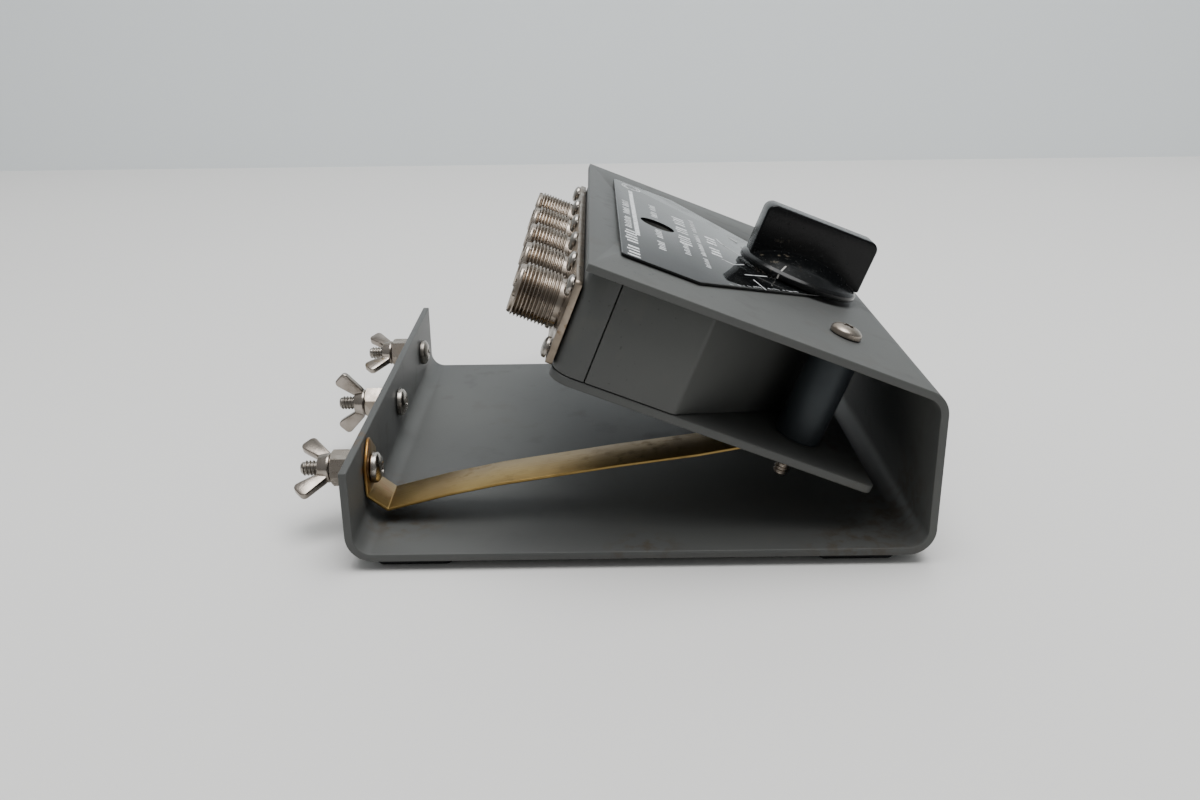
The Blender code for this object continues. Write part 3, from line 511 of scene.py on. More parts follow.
def old_brass():
    """Rolled brass strip, handled and tarnished: dull gold with brown clouds and fine lines along it.
    Real rolling lines are too fine to show, so these are drawn 0.7 mm wide."""
    material, tree, shader, place = new_finish("tarnished_brass", Metallic=1.0, Roughness=0.42)
    base = tint(tree, patches(tree, place, 14, 0.35, 0.65, 4), "#98804f", "#856d40")
    spots = both(tree, patches(tree, place, 3, 0.5, 0.7, 5), patches(tree, place, 25, 0.4, 0.6))
    base = tint(tree, spots, base, "#7a663f")
    smears = patches(tree, place, 4, 0.35, 0.7, 4)
    wider_stains = [(spot, reach * 1.2) for spot, reach in STAINS]
    base = marked(tree, place, smears, wider_stains, base, "#8a5c30")
    tree.links.new(base, shader.inputs["Base Color"])
    bumped(tree, shader, patches(tree, place, 0.7, 0.3, 0.7, 2, (0.05, 1, 0.2)), 0.02)
    dulled(tree, shader, spots, 0.34, 0.6)
    return material


def bakelite():
    """Moulded black phenolic: a soft gloss, hazed by handling, with tan dust caught at the blade's foot."""
    material, tree, shader, place = new_finish("black_phenolic", Roughness=0.14, IOR=1.32)
    base = marked(tree, place, patches(tree, place, 2.4, 0.6, 0.72, 4), BLADE_DUST, "#08090a", "#5f584c")
    haze = patches(tree, place, 1.2, 0.5, 0.8, 6)
    base = marked(tree, place, haze, KNOB_HAZE, base, "#151615")
    tree.links.new(base, shader.inputs["Base Color"])
    dulled(tree, shader, haze, 0.2, 0.34)
    bumped(tree, shader, patches(tree, place, 9, 0.2, 0.8, 2), 0.02)
    return material


def plain(name, first, second, size, depth=0.01, **constants):
    """A dull moulded or turned material with a soft change of tone and a fine grain."""
    material, tree, shader, place = new_finish(name, **constants)
    base = tint(tree, patches(tree, place, size, 0.35, 0.7, 4), first, second)
    tree.links.new(base, shader.inputs["Base Color"])
    bumped(tree, shader, patches(tree, place, size * 0.15, 0.3, 0.7, 3), depth)
    return material


ENAMEL = grey_enamel()
LABEL = label_enamel()
INK = label_ink()
# Bright nickel on turned pieces: a warm white with clear mirror images
NICKEL = plated("nickel_plate", "#a89f95", "#8b8176", 0.26, "#6f6357")
# Nickel on a rolled bar: darker and duller, with a grain drawn out along the bar
BAR_PLATE = plated("rolled_nickel_bar", "#92877a", "#7e7366", 0.34, "#75634f", (1, 0.08, 1))
# Zinc on small steel screws: greyer than the nickel
STEEL = plated("zinc_plated_steel", "#a5a099", "#7f7a73", 0.26, "#5e5144")
# Nickel on cast wing nuts: the shiniest of the plated pieces, with brown tarnish
CASTING = plated("cast_nickel_plate", "#9f978f", "#847c73", 0.2, "#77643c")
BRASS = old_brass()
PHENOLIC = bakelite()
# Old white paint in the knob's index line: greyish and flat
INDEX = plain("white_index_paint", "#a9a7a3", "#7d7974", 2, Roughness=0.5)
# Blued steel of the posts: nearly black, with a faint cool shine
SLEEVE = plain("dark_steel_sleeve", "#2a2f33", "#33383b", 14, 0.02, Roughness=0.5, Metallic=0.3)
# Moulded rubber: black and dull, with a rough skin
RUBBER = plain("black_rubber", "#0f1011", "#161718", 5, 0.05, Roughness=0.8)
# Machined insulation: a milky warm white
INSULATION = plain("white_ptfe", "#d8d4c8", "#c4bfb2", 6, Roughness=0.45)
# Silver wash on brass contacts: pale gold
CONTACT = plated("silvered_brass", "#cdb98e", "#a08a62", 0.3)


# Tools that cut holes


def socket_drills():
    """One tool with the holes for the sockets' spigots and the bar's screws."""
    shape = bmesh.new()
    for index in range(5):
        hole = pin(SPIGOT_HOLE, DRILL_START, DRILL_END, 32)
        bmesh.ops.translate(hole, verts=hole.verts, vec=(0, socket_y(index), 0))
        join(shape, hole)
    for index in range(6):
        for row in (-SCREW_ROW, SCREW_ROW):
            hole = pin(SCREW_HOLE, DRILL_START, DRILL_END, 16)
            bmesh.ops.translate(hole, verts=hole.verts, vec=(row, socket_y(index - 0.5), 0))
            join(shape, hole)
    return cutter("socket_drills", shape, up_slope(0))


def access_drill():
    """The tool for the hole over the arrester, through the label and the panel."""
    return cutter("access_drill", pin(ACCESS_HOLE, -6, 4, 48), on_panel(ARRESTER_UP, 0))


# Sheet metal and housing


def build_console():
    """One sheet: the flange, the base, the front wall and the panel, with rolled bends and eased edges."""
    free_x = CORNER_X - PANEL_LENGTH * math.cos(PANEL_SLOPE)
    free_z = CORNER_Z + PANEL_LENGTH * math.sin(PANEL_SLOPE)
    outer = [(FLANGE_X, FLOOR_Z + FLANGE_HEIGHT), (FLANGE_X, FLOOR_Z), (CORNER_X, FLOOR_Z),
             (CORNER_X, CORNER_Z), (free_x, free_z)]
    inner = offset_path(outer, SHEET)
    outer_bends = [0, BEND_RADIUS, BEND_RADIUS, BEND_RADIUS, 0]
    inner_bends = [max(radius - SHEET, 0) for radius in outer_bends]
    profile = filleted(outer, outer_bends, 12, False) + filleted(inner, inner_bends, 12, False)[::-1]
    shape = slab(profile, -FRAME_HALF, FRAME_HALF, "XZ")
    soften(shape, 0.32, 3, 60)
    console = piece("folded_console", mesh_of("folded_console", shape, WORLD), [ENAMEL],
                    ["console_frame"])
    cut(console, ACCESS_DRILL)


def build_feet():
    """Four rubber pads with round corners, narrower where they stand on the desk."""
    for name in ("foot_back_near", "foot_back_far", "foot_front_near", "foot_front_far"):
        low, high = (corner * 1000 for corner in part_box(name))
        shape = slab(filleted(rectangle(low, high), [FOOT_CORNER] * 4, 6, True), low.z, high.z)
        centre = (low + high) / 2
        for vertex in shape.verts:
            if vertex.co.z < centre.z:
                vertex.co.xy = centre.xy + (vertex.co.xy - centre.xy) * FOOT_TAPER
        soften(shape, 0.5, 3, 40)
        piece(f"rubber_{name}", mesh_of(name, shape, WORLD), [RUBBER], [name])


def housing_half(inset):
    """The near half of the housing's outline, or of a line this far inside it."""
    side = -(HOUSING_HALF - inset)
    shoulder = HOUSING_SHOULDER - inset * math.tan(HOUSING_SLANT / 2)
    nose = HOUSING_NOSE + inset
    return [(-HOUSING_SEAM, side), (-shoulder, side), (-nose, side + shoulder - nose)]


def build_housing_wall():
    """The tapered hexagonal wall under the panel, open towards the seam."""
    outer = filleted(both_sides(housing_half(0)), [0, *[WALL_CORNER] * 4, 0], 8, False)
    inner = both_sides(housing_half(HOUSING_WALL))
    shape = slab(outer + inner[::-1], HOUSING_BOTTOM, HOUSING_TOP)
    soften(shape, 0.3, 2, 60)
    piece("cast_housing_wall", mesh_of("wall", shape, PANEL), [ENAMEL], ["housing_wall"])


def build_connector_end():
    """The housing's end behind its seam, which the sockets stand in."""
    seam = HOUSING_SEAM + GAP
    inside = HOUSING_HALF - HOUSING_WALL
    back = HOUSING_END - HOUSING_WALL
    corner = END_CORNER - HOUSING_WALL
    outer = both_sides([(-seam, -HOUSING_HALF), (-HOUSING_END, -HOUSING_HALF)])
    inner = both_sides([(-seam, -inside), (-back, -inside)])
    outer = filleted(outer, [0, END_CORNER, END_CORNER, 0], 14, False)
    inner = filleted(inner, [0, corner, corner, 0], 10, False)
    shape = slab(outer + inner[::-1], HOUSING_BOTTOM, HOUSING_TOP)
    soften(shape, 0.3, 2, 60)
    end = piece("cast_connector_end", mesh_of("end", shape, PANEL), [ENAMEL], ["connector_end"])
    cut(end, SOCKET_DRILLS)


def build_lower_plate():
    """The plate that closes the housing below."""
    outline = rectangle((-HOUSING_END, -HOUSING_HALF), (-PLATE_FRONT, HOUSING_HALF))
    corners = [END_CORNER, PLATE_FRONT_CORNER, PLATE_FRONT_CORNER, END_CORNER]
    shape = slab(filleted(outline, corners, 12, True), PLATE_BOTTOM, PLATE_TOP)
    soften(shape, 0.35, 3, 60)
    piece("sheet_lower_plate", mesh_of("plate", shape, PANEL), [ENAMEL], ["lower_plate"])


# Label


# Rows of bars: foot and head up the slope, start and end in y, the pitch and the bars left out
PRINTED_ROWS = [
    (88.4, 92.2, -59, -26, 3.6, (4,)),
    (89.6, 91.9, -21, 22, 2.1, (8, 9, 15)),
    (79.2, 81.6, 12, 33, 2.4, (4,)),
    (79.2, 81.6, -36, -8, 2.4, (5, 6)),
    (68.9, 73.2, -14, 26, 3.3, (4, 8)),
    (70.6, 72.6, -29, -14, 2.2, ()),
    (64.9, 66.6, -37, 32, 1.7, (7, 8, 19, 27, 28)),
    (58.6, 62.2, -13, 13, 4.0, (3,)),
]

# Lines as (up the slope, y) at both ends and a width: the long rule, then the fine ones around the knob
PRINTED_LINES = [
    ((88.0, -29), (88.0, 46), 1.5),
    ((51.1, 27.5), (48.6, 24.0), 0.5),
    ((47.7, 18.7), (45.4, 14.6), 0.35),
    ((57.6, 15.0), (56.2, 9.2), 0.5),
    ((56.2, 9.2), (50.5, 1.1), 0.3),
    ((59.2, -16.7), (55.3, -18.3), 0.5),
    ((55.3, -18.3), (51.0, -12.0), 0.35),
    ((52.8, -27.6), (43.8, -17.3), 0.4),
    ((50.3, -30.4), (47.4, -38.4), 0.4),
]

# The printed ring: its middle, the half lengths of its two lines in y, and how flat they are
RING_UP = 87.4
RING_Y = 54
RING_RADII = (4.4, 3.1)
RING_SQUASH = 0.8
RING_WIDTH = 0.5
RING_STEP = math.pi / 8


def build_label():
    """The glossy label, a plate with a straight back and a pointed nose."""
    nose = LABEL_HALF - (LABEL_SHOULDER - LABEL_NOSE)
    half = [(-LABEL_BACK, -LABEL_HALF), (-LABEL_SHOULDER, -LABEL_HALF), (-LABEL_NOSE, -nose)]
    outline = filleted(both_sides(half), [LABEL_CORNER, 0, 0, 0, 0, LABEL_CORNER], 6, True)
    shape = slab(outline, GAP, LABEL_TOP)
    soften(shape, 0.18, 2, 50)
    label = piece("glossy_label", mesh_of("label", shape, PANEL), [LABEL], ["label_plate"])
    cut(label, ACCESS_DRILL)


def stroke(shape, start, end, width):
    """A printed line on the label, between two places given as (up the slope, y)."""
    first = Vector((-start[0], start[1]))
    last = Vector((-end[0], end[1]))
    along = (last - first).normalized()
    side = Vector((-along.y, along.x)) * width / 2
    slab([first - side, last - side, last + side, first + side], LABEL_TOP - 0.05, LABEL_TOP + 0.05,
         shape=shape)


def printed_row(shape, low, high, start, end, pitch, gaps):
    """A row of plain upright bars of changing width, which stands for a line of print."""
    dice = random.Random(round(low * 10) + round(start * 10))
    y = start
    index = 0
    while y < end:
        width = pitch * dice.uniform(0.35, 0.6)
        if index not in gaps:
            stroke(shape, (low, y), (high - 0.4 * (index % 2), y), width)
        y += pitch
        index += 1


def printed_ring(shape):
    """Two flattened circles, one in the other, in short strokes."""
    for radius in RING_RADII:
        spots = [(RING_UP + radius * RING_SQUASH * math.cos(step * RING_STEP),
                  RING_Y + radius * math.sin(step * RING_STEP)) for step in range(17)]
        for first, last in zip(spots, spots[1:]):
            stroke(shape, first, last, RING_WIDTH)


def worn_edge(shape):
    """Small pale nicks along the label's slanting near edge."""
    dice = random.Random(7)
    for _ in range(26):
        up = dice.uniform(33, 60)
        edge = -(up - LABEL_SHOULDER + LABEL_HALF) + dice.uniform(0.4, 1.0)
        stroke(shape, (up, edge), (up + dice.uniform(0.3, 1.4), edge), dice.uniform(0.15, 0.35))


def build_print():
    """The label's print as plain bars, lines and a ring, with the nicks in the same white."""
    shape = bmesh.new()
    for row in PRINTED_ROWS:
        printed_row(shape, *row)
    for start, end, width in PRINTED_LINES:
        stroke(shape, start, end, width)
    printed_ring(shape)
    worn_edge(shape)
    piece("label_print", mesh_of("print", shape, PANEL), [INK])


# Bar and sockets


def build_bar():
    """The plated bar that all five sockets and twelve screws hold against the housing's end."""
    low = (-BAR_HALF_LENGTH, -SOCKET_DEPTH - BAR_HALF_HEIGHT)
    high = (BAR_HALF_LENGTH, -SOCKET_DEPTH + BAR_HALF_HEIGHT)
    outline = filleted(rectangle(low, high), [BAR_CORNER] * 4, 5, True)
    inner_face = HOUSING_END + GAP
    shape = slab(outline, -inner_face - BAR_THICKNESS, -inner_face, "YZ")
    soften(shape, 0.28, 2, 50)
    bar = piece("plated_bar", mesh_of("bar", shape, PANEL), [BAR_PLATE], ["connector_bar"])
    cut(bar, SOCKET_DRILLS)


def socket_shell():
    """A socket's shell: a spigot through the bar, a threaded shank and a rim with four notches."""
    relief = 7.05
    root = 7.25
    crest = 7.94
    spigot = 6.3
    spigot_end = 92.5
    bore = 4.6
    mouth = 6.1
    mouth_floor = 111.1
    taper_start = 106.9
    rim_foot = SOCKET_RIM - 1.0
    shape = turned([
        (relief, rim_foot), (root, taper_start), (root, SOCKET_SEAT + 0.2), (relief, SOCKET_SEAT),
        (spigot, SOCKET_SEAT), (spigot, spigot_end), (bore, spigot_end), (bore, mouth_floor),
        (mouth, mouth_floor), (mouth, rim_foot),
    ])
    ridge(shape, root, crest, SOCKET_THREAD, SOCKET_SEAT + 0.9, SOCKET_RIM - 0.5, 48)

    crown = [(mouth, SOCKET_RIM - 1.1), (7.4, SOCKET_RIM - 1.1), (7.4, SOCKET_RIM - 0.35),
             (7.15, SOCKET_RIM), (6.3, SOCKET_RIM), (mouth, SOCKET_RIM - 0.2)]
    half_notch = math.asin(0.75 / 7.0)
    for quarter in range(4):
        turned(crown, 14, shape, math.pi / 2 - 2 * half_notch, quarter * math.pi / 2 + half_notch)
    return shape


def socket_insulator():
    """The white ring in a socket's mouth, with eased edges."""
    bore = 2.9
    outside = 4.3
    front = 111.4
    back = 90.3
    return turned([(bore, front - 0.2), (bore + 0.3, front), (outside - 0.3, front), (outside, front - 0.3),
                   (outside, back), (bore, back)], 48)


def build_sockets():
    """Five threaded sockets and their insulators."""
    for index in range(5):
        number = index + 1
        place = up_slope(socket_y(index))
        piece(f"threaded_socket_{number}", mesh_of("shell", socket_shell(), place), [NICKEL],
              [f"socket_shell_{number}"], crease=28)
        piece(f"white_insulator_{number}", mesh_of("ring", socket_insulator(), place), [INSULATION],
              [f"socket_insulator_{number}"])


# Screws and nuts


def screw_head(radius, height):
    """A pan head with a deep cross recess, its underside at z = 0; its forms are shares of its size."""
    dome = filleted(
        [(0, height), (radius * 0.62, height * 0.96), (radius * 0.98, height * 0.55), (radius, 0), (0, 0)],
        [0, radius * 0.9, radius * 0.22, radius * 0.05, 0], 8, False)
    shape = turned([(max(across, 0.0), up) for across, up in dome], 48)
    above = height + 2
    reach = radius * 0.58
    half = radius * 0.13
    tools = []
    for turn in (0, math.pi / 2):
        wing = block((-reach, -half, height * 0.3), (reach, half, above))
        for vertex in wing.verts:
            if vertex.co.z < height * 0.5:
                vertex.co.x *= 0.45
        bmesh.ops.rotate(wing, verts=wing.verts, cent=(0, 0, 0), matrix=Matrix.Rotation(turn, 3, "Z"))
        tools.append(wing)
    pit = [(0, above), (radius * 0.3, above), (radius * 0.22, height * 0.35), (0, height * 0.2)]
    tools.append(turned(pit, 16))
    return mesh_of("head", carved(shape, tools), UNMOVED)


def large_screw(seat, end):
    """A large screw: its head on seat, and its threaded shank down to a rounded end."""
    shape = copy_of(LARGE_HEAD)
    bmesh.ops.translate(shape, verts=shape.verts, vec=(0, 0, seat))
    root = LARGE_SCREW - 0.42
    start = seat + 0.2
    turned([(0, start), (root, start), (root, end + 0.5), (root - 0.45, end), (0, end)], 36, shape)
    ridge(shape, root, LARGE_SCREW, SCREW_THREAD, end + 0.15, start, 36)
    return shape


def hexagon_nut(low, high):
    """A hexagon nut with turned corners; the cones that turn them reach past its ends."""
    radius = NUT_FLATS / math.sqrt(3)
    outline = [(radius * math.cos(step * math.pi / 3), radius * math.sin(step * math.pi / 3))
               for step in range(6)]
    edge = NUT_FLATS / 2
    drop = (radius - edge) * 0.75
    outside = radius + 0.2
    past = 0.5
    inside = edge - past * (outside - edge) / drop
    lens = turned([(0, high + past), (inside, high + past), (outside, high - drop), (outside, low + drop),
                   (inside, low - past), (0, low - past)])
    return carved(slab(outline, low, high), [lens], "INTERSECT")


def build_bar_screws():
    """Two rows of six small screws; each one's recess points its own way."""
    head = screw_head(3.05, 1.7)
    shank = 1.2
    for row, side in (("top", 1), ("bottom", -1)):
        for index in range(6):
            shape = copy_of(head)
            turned([(0, 0.1), (shank, 0.1), (shank, -6.5), (0, -7)], 16, shape)
            place = up_slope(socket_y(index - 0.5)) @ Matrix.Translation((side * SCREW_ROW, 0, SOCKET_SEAT))
            turn = Matrix.Rotation(0.7 + index * 1.1 + side, 4, "Z")
            name = f"bar_screw_{row}_{index + 1}"
            piece(f"small_{name}", mesh_of(name, shape, place @ turn), [STEEL], [name],
                  crease=30)


# Terminals and posts

# The terminals' sides, with the turns that their wing nuts have in the photo, in degrees
WING_TURNS = {"near": 60.0, "middle": 0.0, "far": 65.0}
WING_SEAT = 8.6

# A wing nut's paddle as (out, up) and the radius of each corner
PADDLE = [(3.0, 0.5), (4.6, 0.5), (11.3, 6.6), (7.3, 10.6), (5.6, 8.0), (2.9, 3.4)]
PADDLE_RADII = [0, 2.0, 1.5, 1.5, 6.0, 0]


def build_terminals():
    """Each terminal: a screw from inside the flange, a washer and nut outside, and a wing nut."""
    for index, (side, wing_turn) in enumerate(WING_TURNS.items()):
        y = (index - 1) * TERMINAL_Y
        place = from_flange(y)
        seat = SHEET + GAP
        if side == "near":
            seat += STRAP_THICKNESS + GAP
        inward = place @ Matrix.Rotation(math.pi, 4, "X") @ Matrix.Rotation(0.5 + index, 4, "Z")
        name = f"terminal_screw_{side}"
        piece(f"steel_{name}", mesh_of(name, large_screw(seat, -17.5), inward), [STEEL], [name],
              crease=30)
        name = f"terminal_nut_{side}"
        turn = Matrix.Rotation(0.35 + 0.6 * index, 4, "Z")
        piece(f"plated_{name}", mesh_of(name, terminal_nut(), place @ turn), [NICKEL], [name],
              crease=30)
        build_wing_nut(side, y, wing_turn)


def terminal_nut():
    """A terminal's nut on its washer."""
    washer = 5.3
    washer_top = 2.3
    shape = hexagon_nut(washer_top, 8.25)
    ring = [(LARGE_CLEARANCE, GAP), (washer - 0.2, GAP), (washer, GAP + 0.2), (washer, washer_top - 0.2),
            (washer - 0.2, washer_top), (LARGE_CLEARANCE, washer_top)]
    return turned(ring, 64, shape)


def build_wing_nut(side, y, turn):
    """A cast wing nut: a tapered hub and two swept paddles, turning on its screw."""
    bore = 2.35
    hub_top = 3.6
    shape = turned(filleted([(bore, hub_top), (3.9, hub_top), (4.5, 0.6), (4.3, 0.0), (bore, 0.0)],
                            [0, 0.5, 0.4, 0.2, 0], 5, False))
    for direction in (1, -1):
        outline = [(direction * x, z) for x, z in filleted(PADDLE, PADDLE_RADII, 5, True)]
        wing = slab(outline, -1.3, 1.3, "XZ")
        for vertex in wing.verts:
            vertex.co.y *= 1.2 - 0.03 * abs(vertex.co.x)
        bmesh.ops.recalc_face_normals(wing, faces=wing.faces)
        soften(wing, 0.4, 3, 50)
        join(shape, wing)
    place = from_flange(y, WING_SEAT) @ Matrix.Rotation(math.radians(turn), 4, "Z")
    name = f"wing_nut_{side}"
    piece(f"cast_{name}", mesh_of(name, shape, place), [CASTING], [name], f"wing_{side}", 40)


def build_posts():
    """Two sleeves between panel and plate, each with a long screw through it and a nut below."""
    radius = 7.0
    for side, y in (("near", -TERMINAL_Y), ("far", TERMINAL_Y)):
        place = on_panel(POST_UP, y)
        sleeve = turned(filleted(
            [(LARGE_CLEARANCE, HOUSING_TOP), (radius, HOUSING_TOP), (radius, HOUSING_BOTTOM),
             (LARGE_CLEARANCE, HOUSING_BOTTOM)], [0, 0.3, 0.3, 0], 3, False), 72)
        piece(f"sleeve_post_{side}", mesh_of("post", sleeve, place), [SLEEVE], [f"post_{side}"])
        turn = Matrix.Rotation(0.35, 4, "Z")
        name = f"post_screw_{side}"
        piece(f"long_{name}", mesh_of(name, large_screw(GAP, -46.0), place @ turn), [NICKEL], [name],
              crease=30)
        top = PLATE_BOTTOM - GAP
        if side == "near":
            top -= STRAP_THICKNESS + GAP
        name = f"post_nut_{side}"
        piece(f"hexagon_{name}", mesh_of(name, hexagon_nut(top - 3.2, top), place @ turn), [NICKEL],
              [name], crease=30)


# Earth strap


def strap_path():
    """The strap's middle line as (x, z), from its tip down the flange, up to the plate and under it."""
    sine = math.sin(PANEL_SLOPE)
    cosine = math.cos(PANEL_SLOPE)
    middle = GAP + STRAP_THICKNESS / 2
    under = PLATE_BOTTOM - middle
    tab = FLANGE_X + SHEET + middle
    fold = Vector((FLANGE_X + 8.8, FLOOR_Z + 6.6))
    lands = [Vector((CORNER_X - up * cosine + under * sine, CORNER_Z + up * sine + under * cosine))
             for up in (36.0, 17.5)]
    # The free stretch between fold and plate, as shares of its run and of its rise
    run = lands[0] - fold
    bow = [fold + Vector((run.x * along, run.y * up))
           for along, up in ((0.162, 0.235), (0.303, 0.398), (0.623, 0.674), (0.833, 0.832))]
    points = [(tab, FLOOR_Z + 26.2), (tab, FLOOR_Z + 20.2), (tab, FLOOR_Z + 11.2), fold, *bow, *lands]
    return filleted(points, [0, 0, 1.5, 0.9, 60, 60, 60, 30, 12, 0], 6, False)


def build_strap():
    """The brass strip along its path, narrow at its tip, with its thickness from a modifier."""
    path = strap_path()
    shape = bmesh.new()
    tip = [shape.verts.new((path[0].x, -TERMINAL_Y + half, path[0].y))
           for half in (-STRAP_TIP_HALF, STRAP_TIP_HALF)]
    edge = shape.edges.new(tip)
    for point in path[1:]:
        grown = bmesh.ops.extrude_edge_only(shape, edges=[edge])["geom"]
        edge = next(item for item in grown if isinstance(item, bmesh.types.BMEdge))
        middle = sum((vertex.co for vertex in edge.verts), Vector()) / 2
        for vertex in edge.verts:
            side = 1 if vertex.co.y > middle.y else -1
            vertex.co = (point.x, -TERMINAL_Y + side * STRAP_HALF, point.y)
    bmesh.ops.recalc_face_normals(shape, faces=shape.faces)
    strap = piece("brass_strap", mesh_of("strap", shape, WORLD), [BRASS], ["earth_strap"])
    sheet = strap.modifiers.new("sheet", "SOLIDIFY")
    sheet.thickness = STRAP_THICKNESS * 0.001
    sheet.offset = 0
    sheet.use_even_offset = True
    edges = strap.modifiers.new("edges", "BEVEL")
    edges.width = 0.0002
    edges.segments = 2
    edges.angle_limit = math.radians(50)


# Knob and inner parts


def dome_height(radius, dome):
    """The height of the skirt's dome at a radius, read off its profile."""
    for first, second in zip(dome, dome[1:]):
        if first.x <= radius <= second.x:
            return first.y + (second.y - first.y) * (radius - first.x) / max(second.x - first.x, 1e-6)
    return dome[-1].y


def build_knob():
    """The bar knob: a flat-sided blade on a domed round skirt, with a fine bead where they meet."""
    place = on_panel(KNOB_UP, 0)
    hollow = 8.6
    hollow_top = 4.4
    dome = filleted(
        [(0, 9.7), (5, 9.4), (10.5, 8.5), (15.5, 6.4), (19.2, 4.2), (KNOB_RADIUS, 3.3),
         (KNOB_RADIUS, KNOB_BASE), (19.4, KNOB_BASE), (hollow, KNOB_BASE), (hollow, hollow_top),
         (0, hollow_top)],
        [0, 20, 20, 12, 1.2, 0.8, 0.3, 0, 0, 0, 0], 6, False)
    shape = turned(dome, 96)

    blade_side = rectangle((-18.8, 4.2), (20.0, KNOB_TOP))
    blade = slab(filleted(blade_side, [0, 0, 2.8, 2.8], 8, True), -BLADE_HALF, BLADE_HALF, "XZ")
    soften(blade, 0.7, 4, 50)
    join(shape, blade)

    arch = [(x, dome_height(math.hypot(x, BLADE_HALF), dome))
            for x in [-18.2 + 1.3 * step for step in range(29)]]
    for side in (-BLADE_HALF, BLADE_HALF):
        outline = [(x, z + 0.3) for x, z in arch] + [(x, z - 0.6) for x, z in reversed(arch)]
        bead = slab(outline, side - 0.25, side + 0.25, "XZ")
        soften(bead, 0.12, 2, 50)
        join(shape, bead)
    piece("bar_knob", mesh_of("knob", shape, place), [PHENOLIC], ["knob"], "knob_and_rotor", 30)
    build_index_line(place, dome)


def build_index_line(place, dome):
    """The white line on the skirt: a strip that follows the dome, and a short one down the rim."""
    half = 0.25
    shape = bmesh.new()
    block((16.6, -half, 0), (19.2, half, 0.1), shape)
    bmesh.ops.subdivide_edges(shape, edges=shape.edges, cuts=5, use_grid_fill=True)
    for vertex in shape.verts:
        vertex.co.z += dome_height(vertex.co.x, dome)
    block((KNOB_RADIUS - 0.05, -half, KNOB_BASE + 0.1), (KNOB_RADIUS + 0.06, half, 3.1), shape)
    turn = Matrix.Rotation(math.radians(240), 4, "Z")
    piece("knob_index_line", mesh_of("line", shape, place @ turn), [INDEX], (), "knob_and_rotor")


def dress_inner_parts():
    """The parts that keep their solids' shape and only need a finish."""
    finishes = {f"centre_contact_{number}": CONTACT for number in range(1, 6)}
    finishes.update({
        "rotor_contact": CONTACT, "rotor_shaft": INSULATION, "shaft_bushing": NICKEL,
        "bushing_nut": NICKEL, "arrester": NICKEL, "arrester_sleeve": NICKEL,
    })
    for name, finish in finishes.items():
        node = frame["nodes"][name]
        node.data.materials.clear()
        node.data.materials.append(finish)


# Camera, light and stage

# The camera's eye in metres, its angles in degrees and its focal length in pixels of the whole picture
CAMERA_EYE = (-0.001821, -0.359620, 0.154952)
CAMERA_PITCH = math.radians(20.611)
CAMERA_YAW = math.radians(0.126)
CAMERA_ROLL = math.radians(-0.687)
CAMERA_FOCUS = 1115.012
PICTURE_WIDTH = 1200
SENSOR_WIDTH = 36

# The lamp above, in metres and watts, and the side that the sky is brightest on
LAMP_SPOT = Vector((0.12, -0.1, 1.2))
LAMP_TARGET = Vector((0, 0.05, 0))
LAMP_POWER = 20.5
BRIGHT_SIDE = Vector((-0.2, 0.3, 0.9)).normalized()

# The paper floor and wall, in millimetres
STAGE_HALF = 2600
FLOOR_FRONT = -1500
WALL_Y = 660
WALL_HEIGHT = 1600


def build_camera():
    """The photograph's view: 20.6 degrees down, nearly square to the console's near side."""
    level = math.cos(CAMERA_PITCH)
    ahead = Vector((math.sin(CAMERA_YAW) * level, math.cos(CAMERA_YAW) * level, -math.sin(CAMERA_PITCH)))
    right = Vector((math.cos(CAMERA_YAW), -math.sin(CAMERA_YAW), 0))
    up = right.cross(ahead)
    rolled_right = right * math.cos(CAMERA_ROLL) + up * math.sin(CAMERA_ROLL)
    rolled_up = up * math.cos(CAMERA_ROLL) - right * math.sin(CAMERA_ROLL)
    lens = bpy.data.cameras.new("camera")
    lens.sensor_width = SENSOR_WIDTH
    lens.lens = SENSOR_WIDTH * CAMERA_FOCUS / PICTURE_WIDTH
    lens.clip_start = 0.01
    camera = bpy.data.objects.new("camera", lens)
    bpy.context.scene.collection.objects.link(camera)
    turn = Matrix((rolled_right, rolled_up, -ahead)).transposed().to_4x4()
    camera.matrix_world = Matrix.Translation(CAMERA_EYE) @ turn
    bpy.context.scene.camera = camera


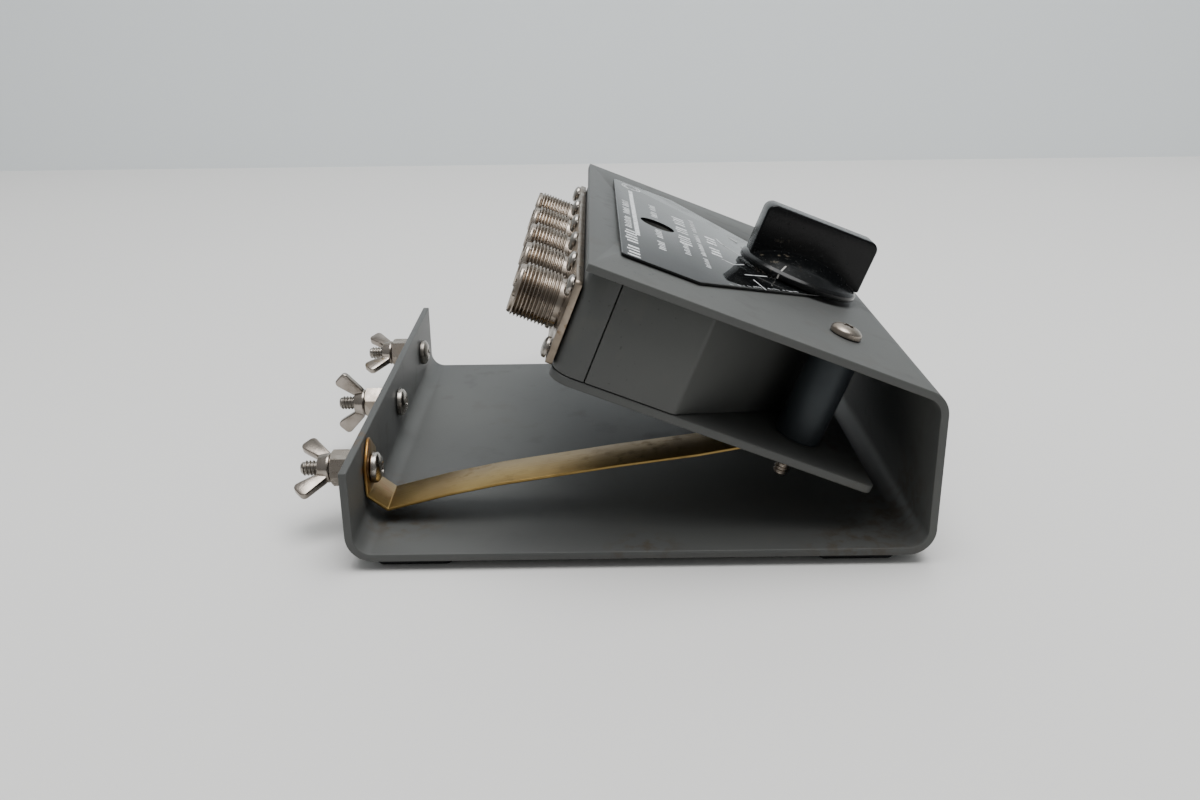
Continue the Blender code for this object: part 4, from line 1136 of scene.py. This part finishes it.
def build_light():
    """A large soft source above and a little to the right and front, with an even fill from all round."""
    world = bpy.data.worlds.new("studio")
    bpy.context.scene.world = world
    world.use_nodes = True
    tree = world.node_tree
    background = tree.nodes["Background"]
    background.inputs["Color"].default_value = colour("#f2f4f5")
    direction = add(tree, "TexCoord", {}, {}).outputs["Generated"]
    towards = add(tree, "VectorMath", {"operation": "DOT_PRODUCT"}, {0: direction, 1: BRIGHT_SIDE})
    span = {"Value": towards.outputs["Value"], "From Min": -0.8, "To Min": 0.14, "To Max": 0.6}
    tree.links.new(add(tree, "MapRange", {}, span).outputs[0], background.inputs["Strength"])

    panel = bpy.data.lights.new("ceiling_panel", "AREA")
    panel.shape = "RECTANGLE"
    panel.size = 1.0
    panel.size_y = 0.9
    panel.energy = LAMP_POWER
    lamp = bpy.data.objects.new("ceiling_panel", panel)
    bpy.context.scene.collection.objects.link(lamp)
    lamp.location = LAMP_SPOT
    lamp.rotation_euler = (LAMP_TARGET - LAMP_SPOT).to_track_quat("-Z", "Y").to_euler()


def stage_paper(name, tone, patch):
    """Matt paper: the floor and the wall behind it, with a very soft change of tone."""
    material, tree, shader, place = new_finish(name, Roughness=0.9, Specular_IOR_Level=0.1)
    base = tint(tree, patches(tree, place, 400, 0.3, 0.7, 1), tone, patch)
    tree.links.new(base, shader.inputs["Base Color"])
    return material


def build_stage():
    """A pale paper floor with a pale wall standing behind it."""
    floor = slab(rectangle((-STAGE_HALF, FLOOR_FRONT), (STAGE_HALF, WALL_Y)), -1, 0)
    wall = slab(rectangle((-STAGE_HALF, 0), (STAGE_HALF, WALL_HEIGHT)), WALL_Y, WALL_Y + 2, "XZ")
    sheets = (("paper_floor", floor, stage_paper("pale_paper", "#e0dfdd", "#dddcda")),
              ("paper_wall", wall, stage_paper("cool_wall_paper", "#e6ebed", "#e2e7e9")))
    for name, shape, paper in sheets:
        sheet = bpy.data.objects.new(name, mesh_of(name, shape, WORLD))
        bpy.context.scene.collection.objects.link(sheet)
        sheet.data.materials.append(paper)


SOCKET_DRILLS = socket_drills()
ACCESS_DRILL = access_drill()
LARGE_HEAD = screw_head(4.7, 2.9)

build_console()
build_feet()
build_housing_wall()
build_connector_end()
build_lower_plate()
build_label()
build_print()
build_bar()
build_sockets()
build_bar_screws()
build_terminals()
build_posts()
build_strap()
build_knob()
dress_inner_parts()
build_camera()
build_light()
build_stage()
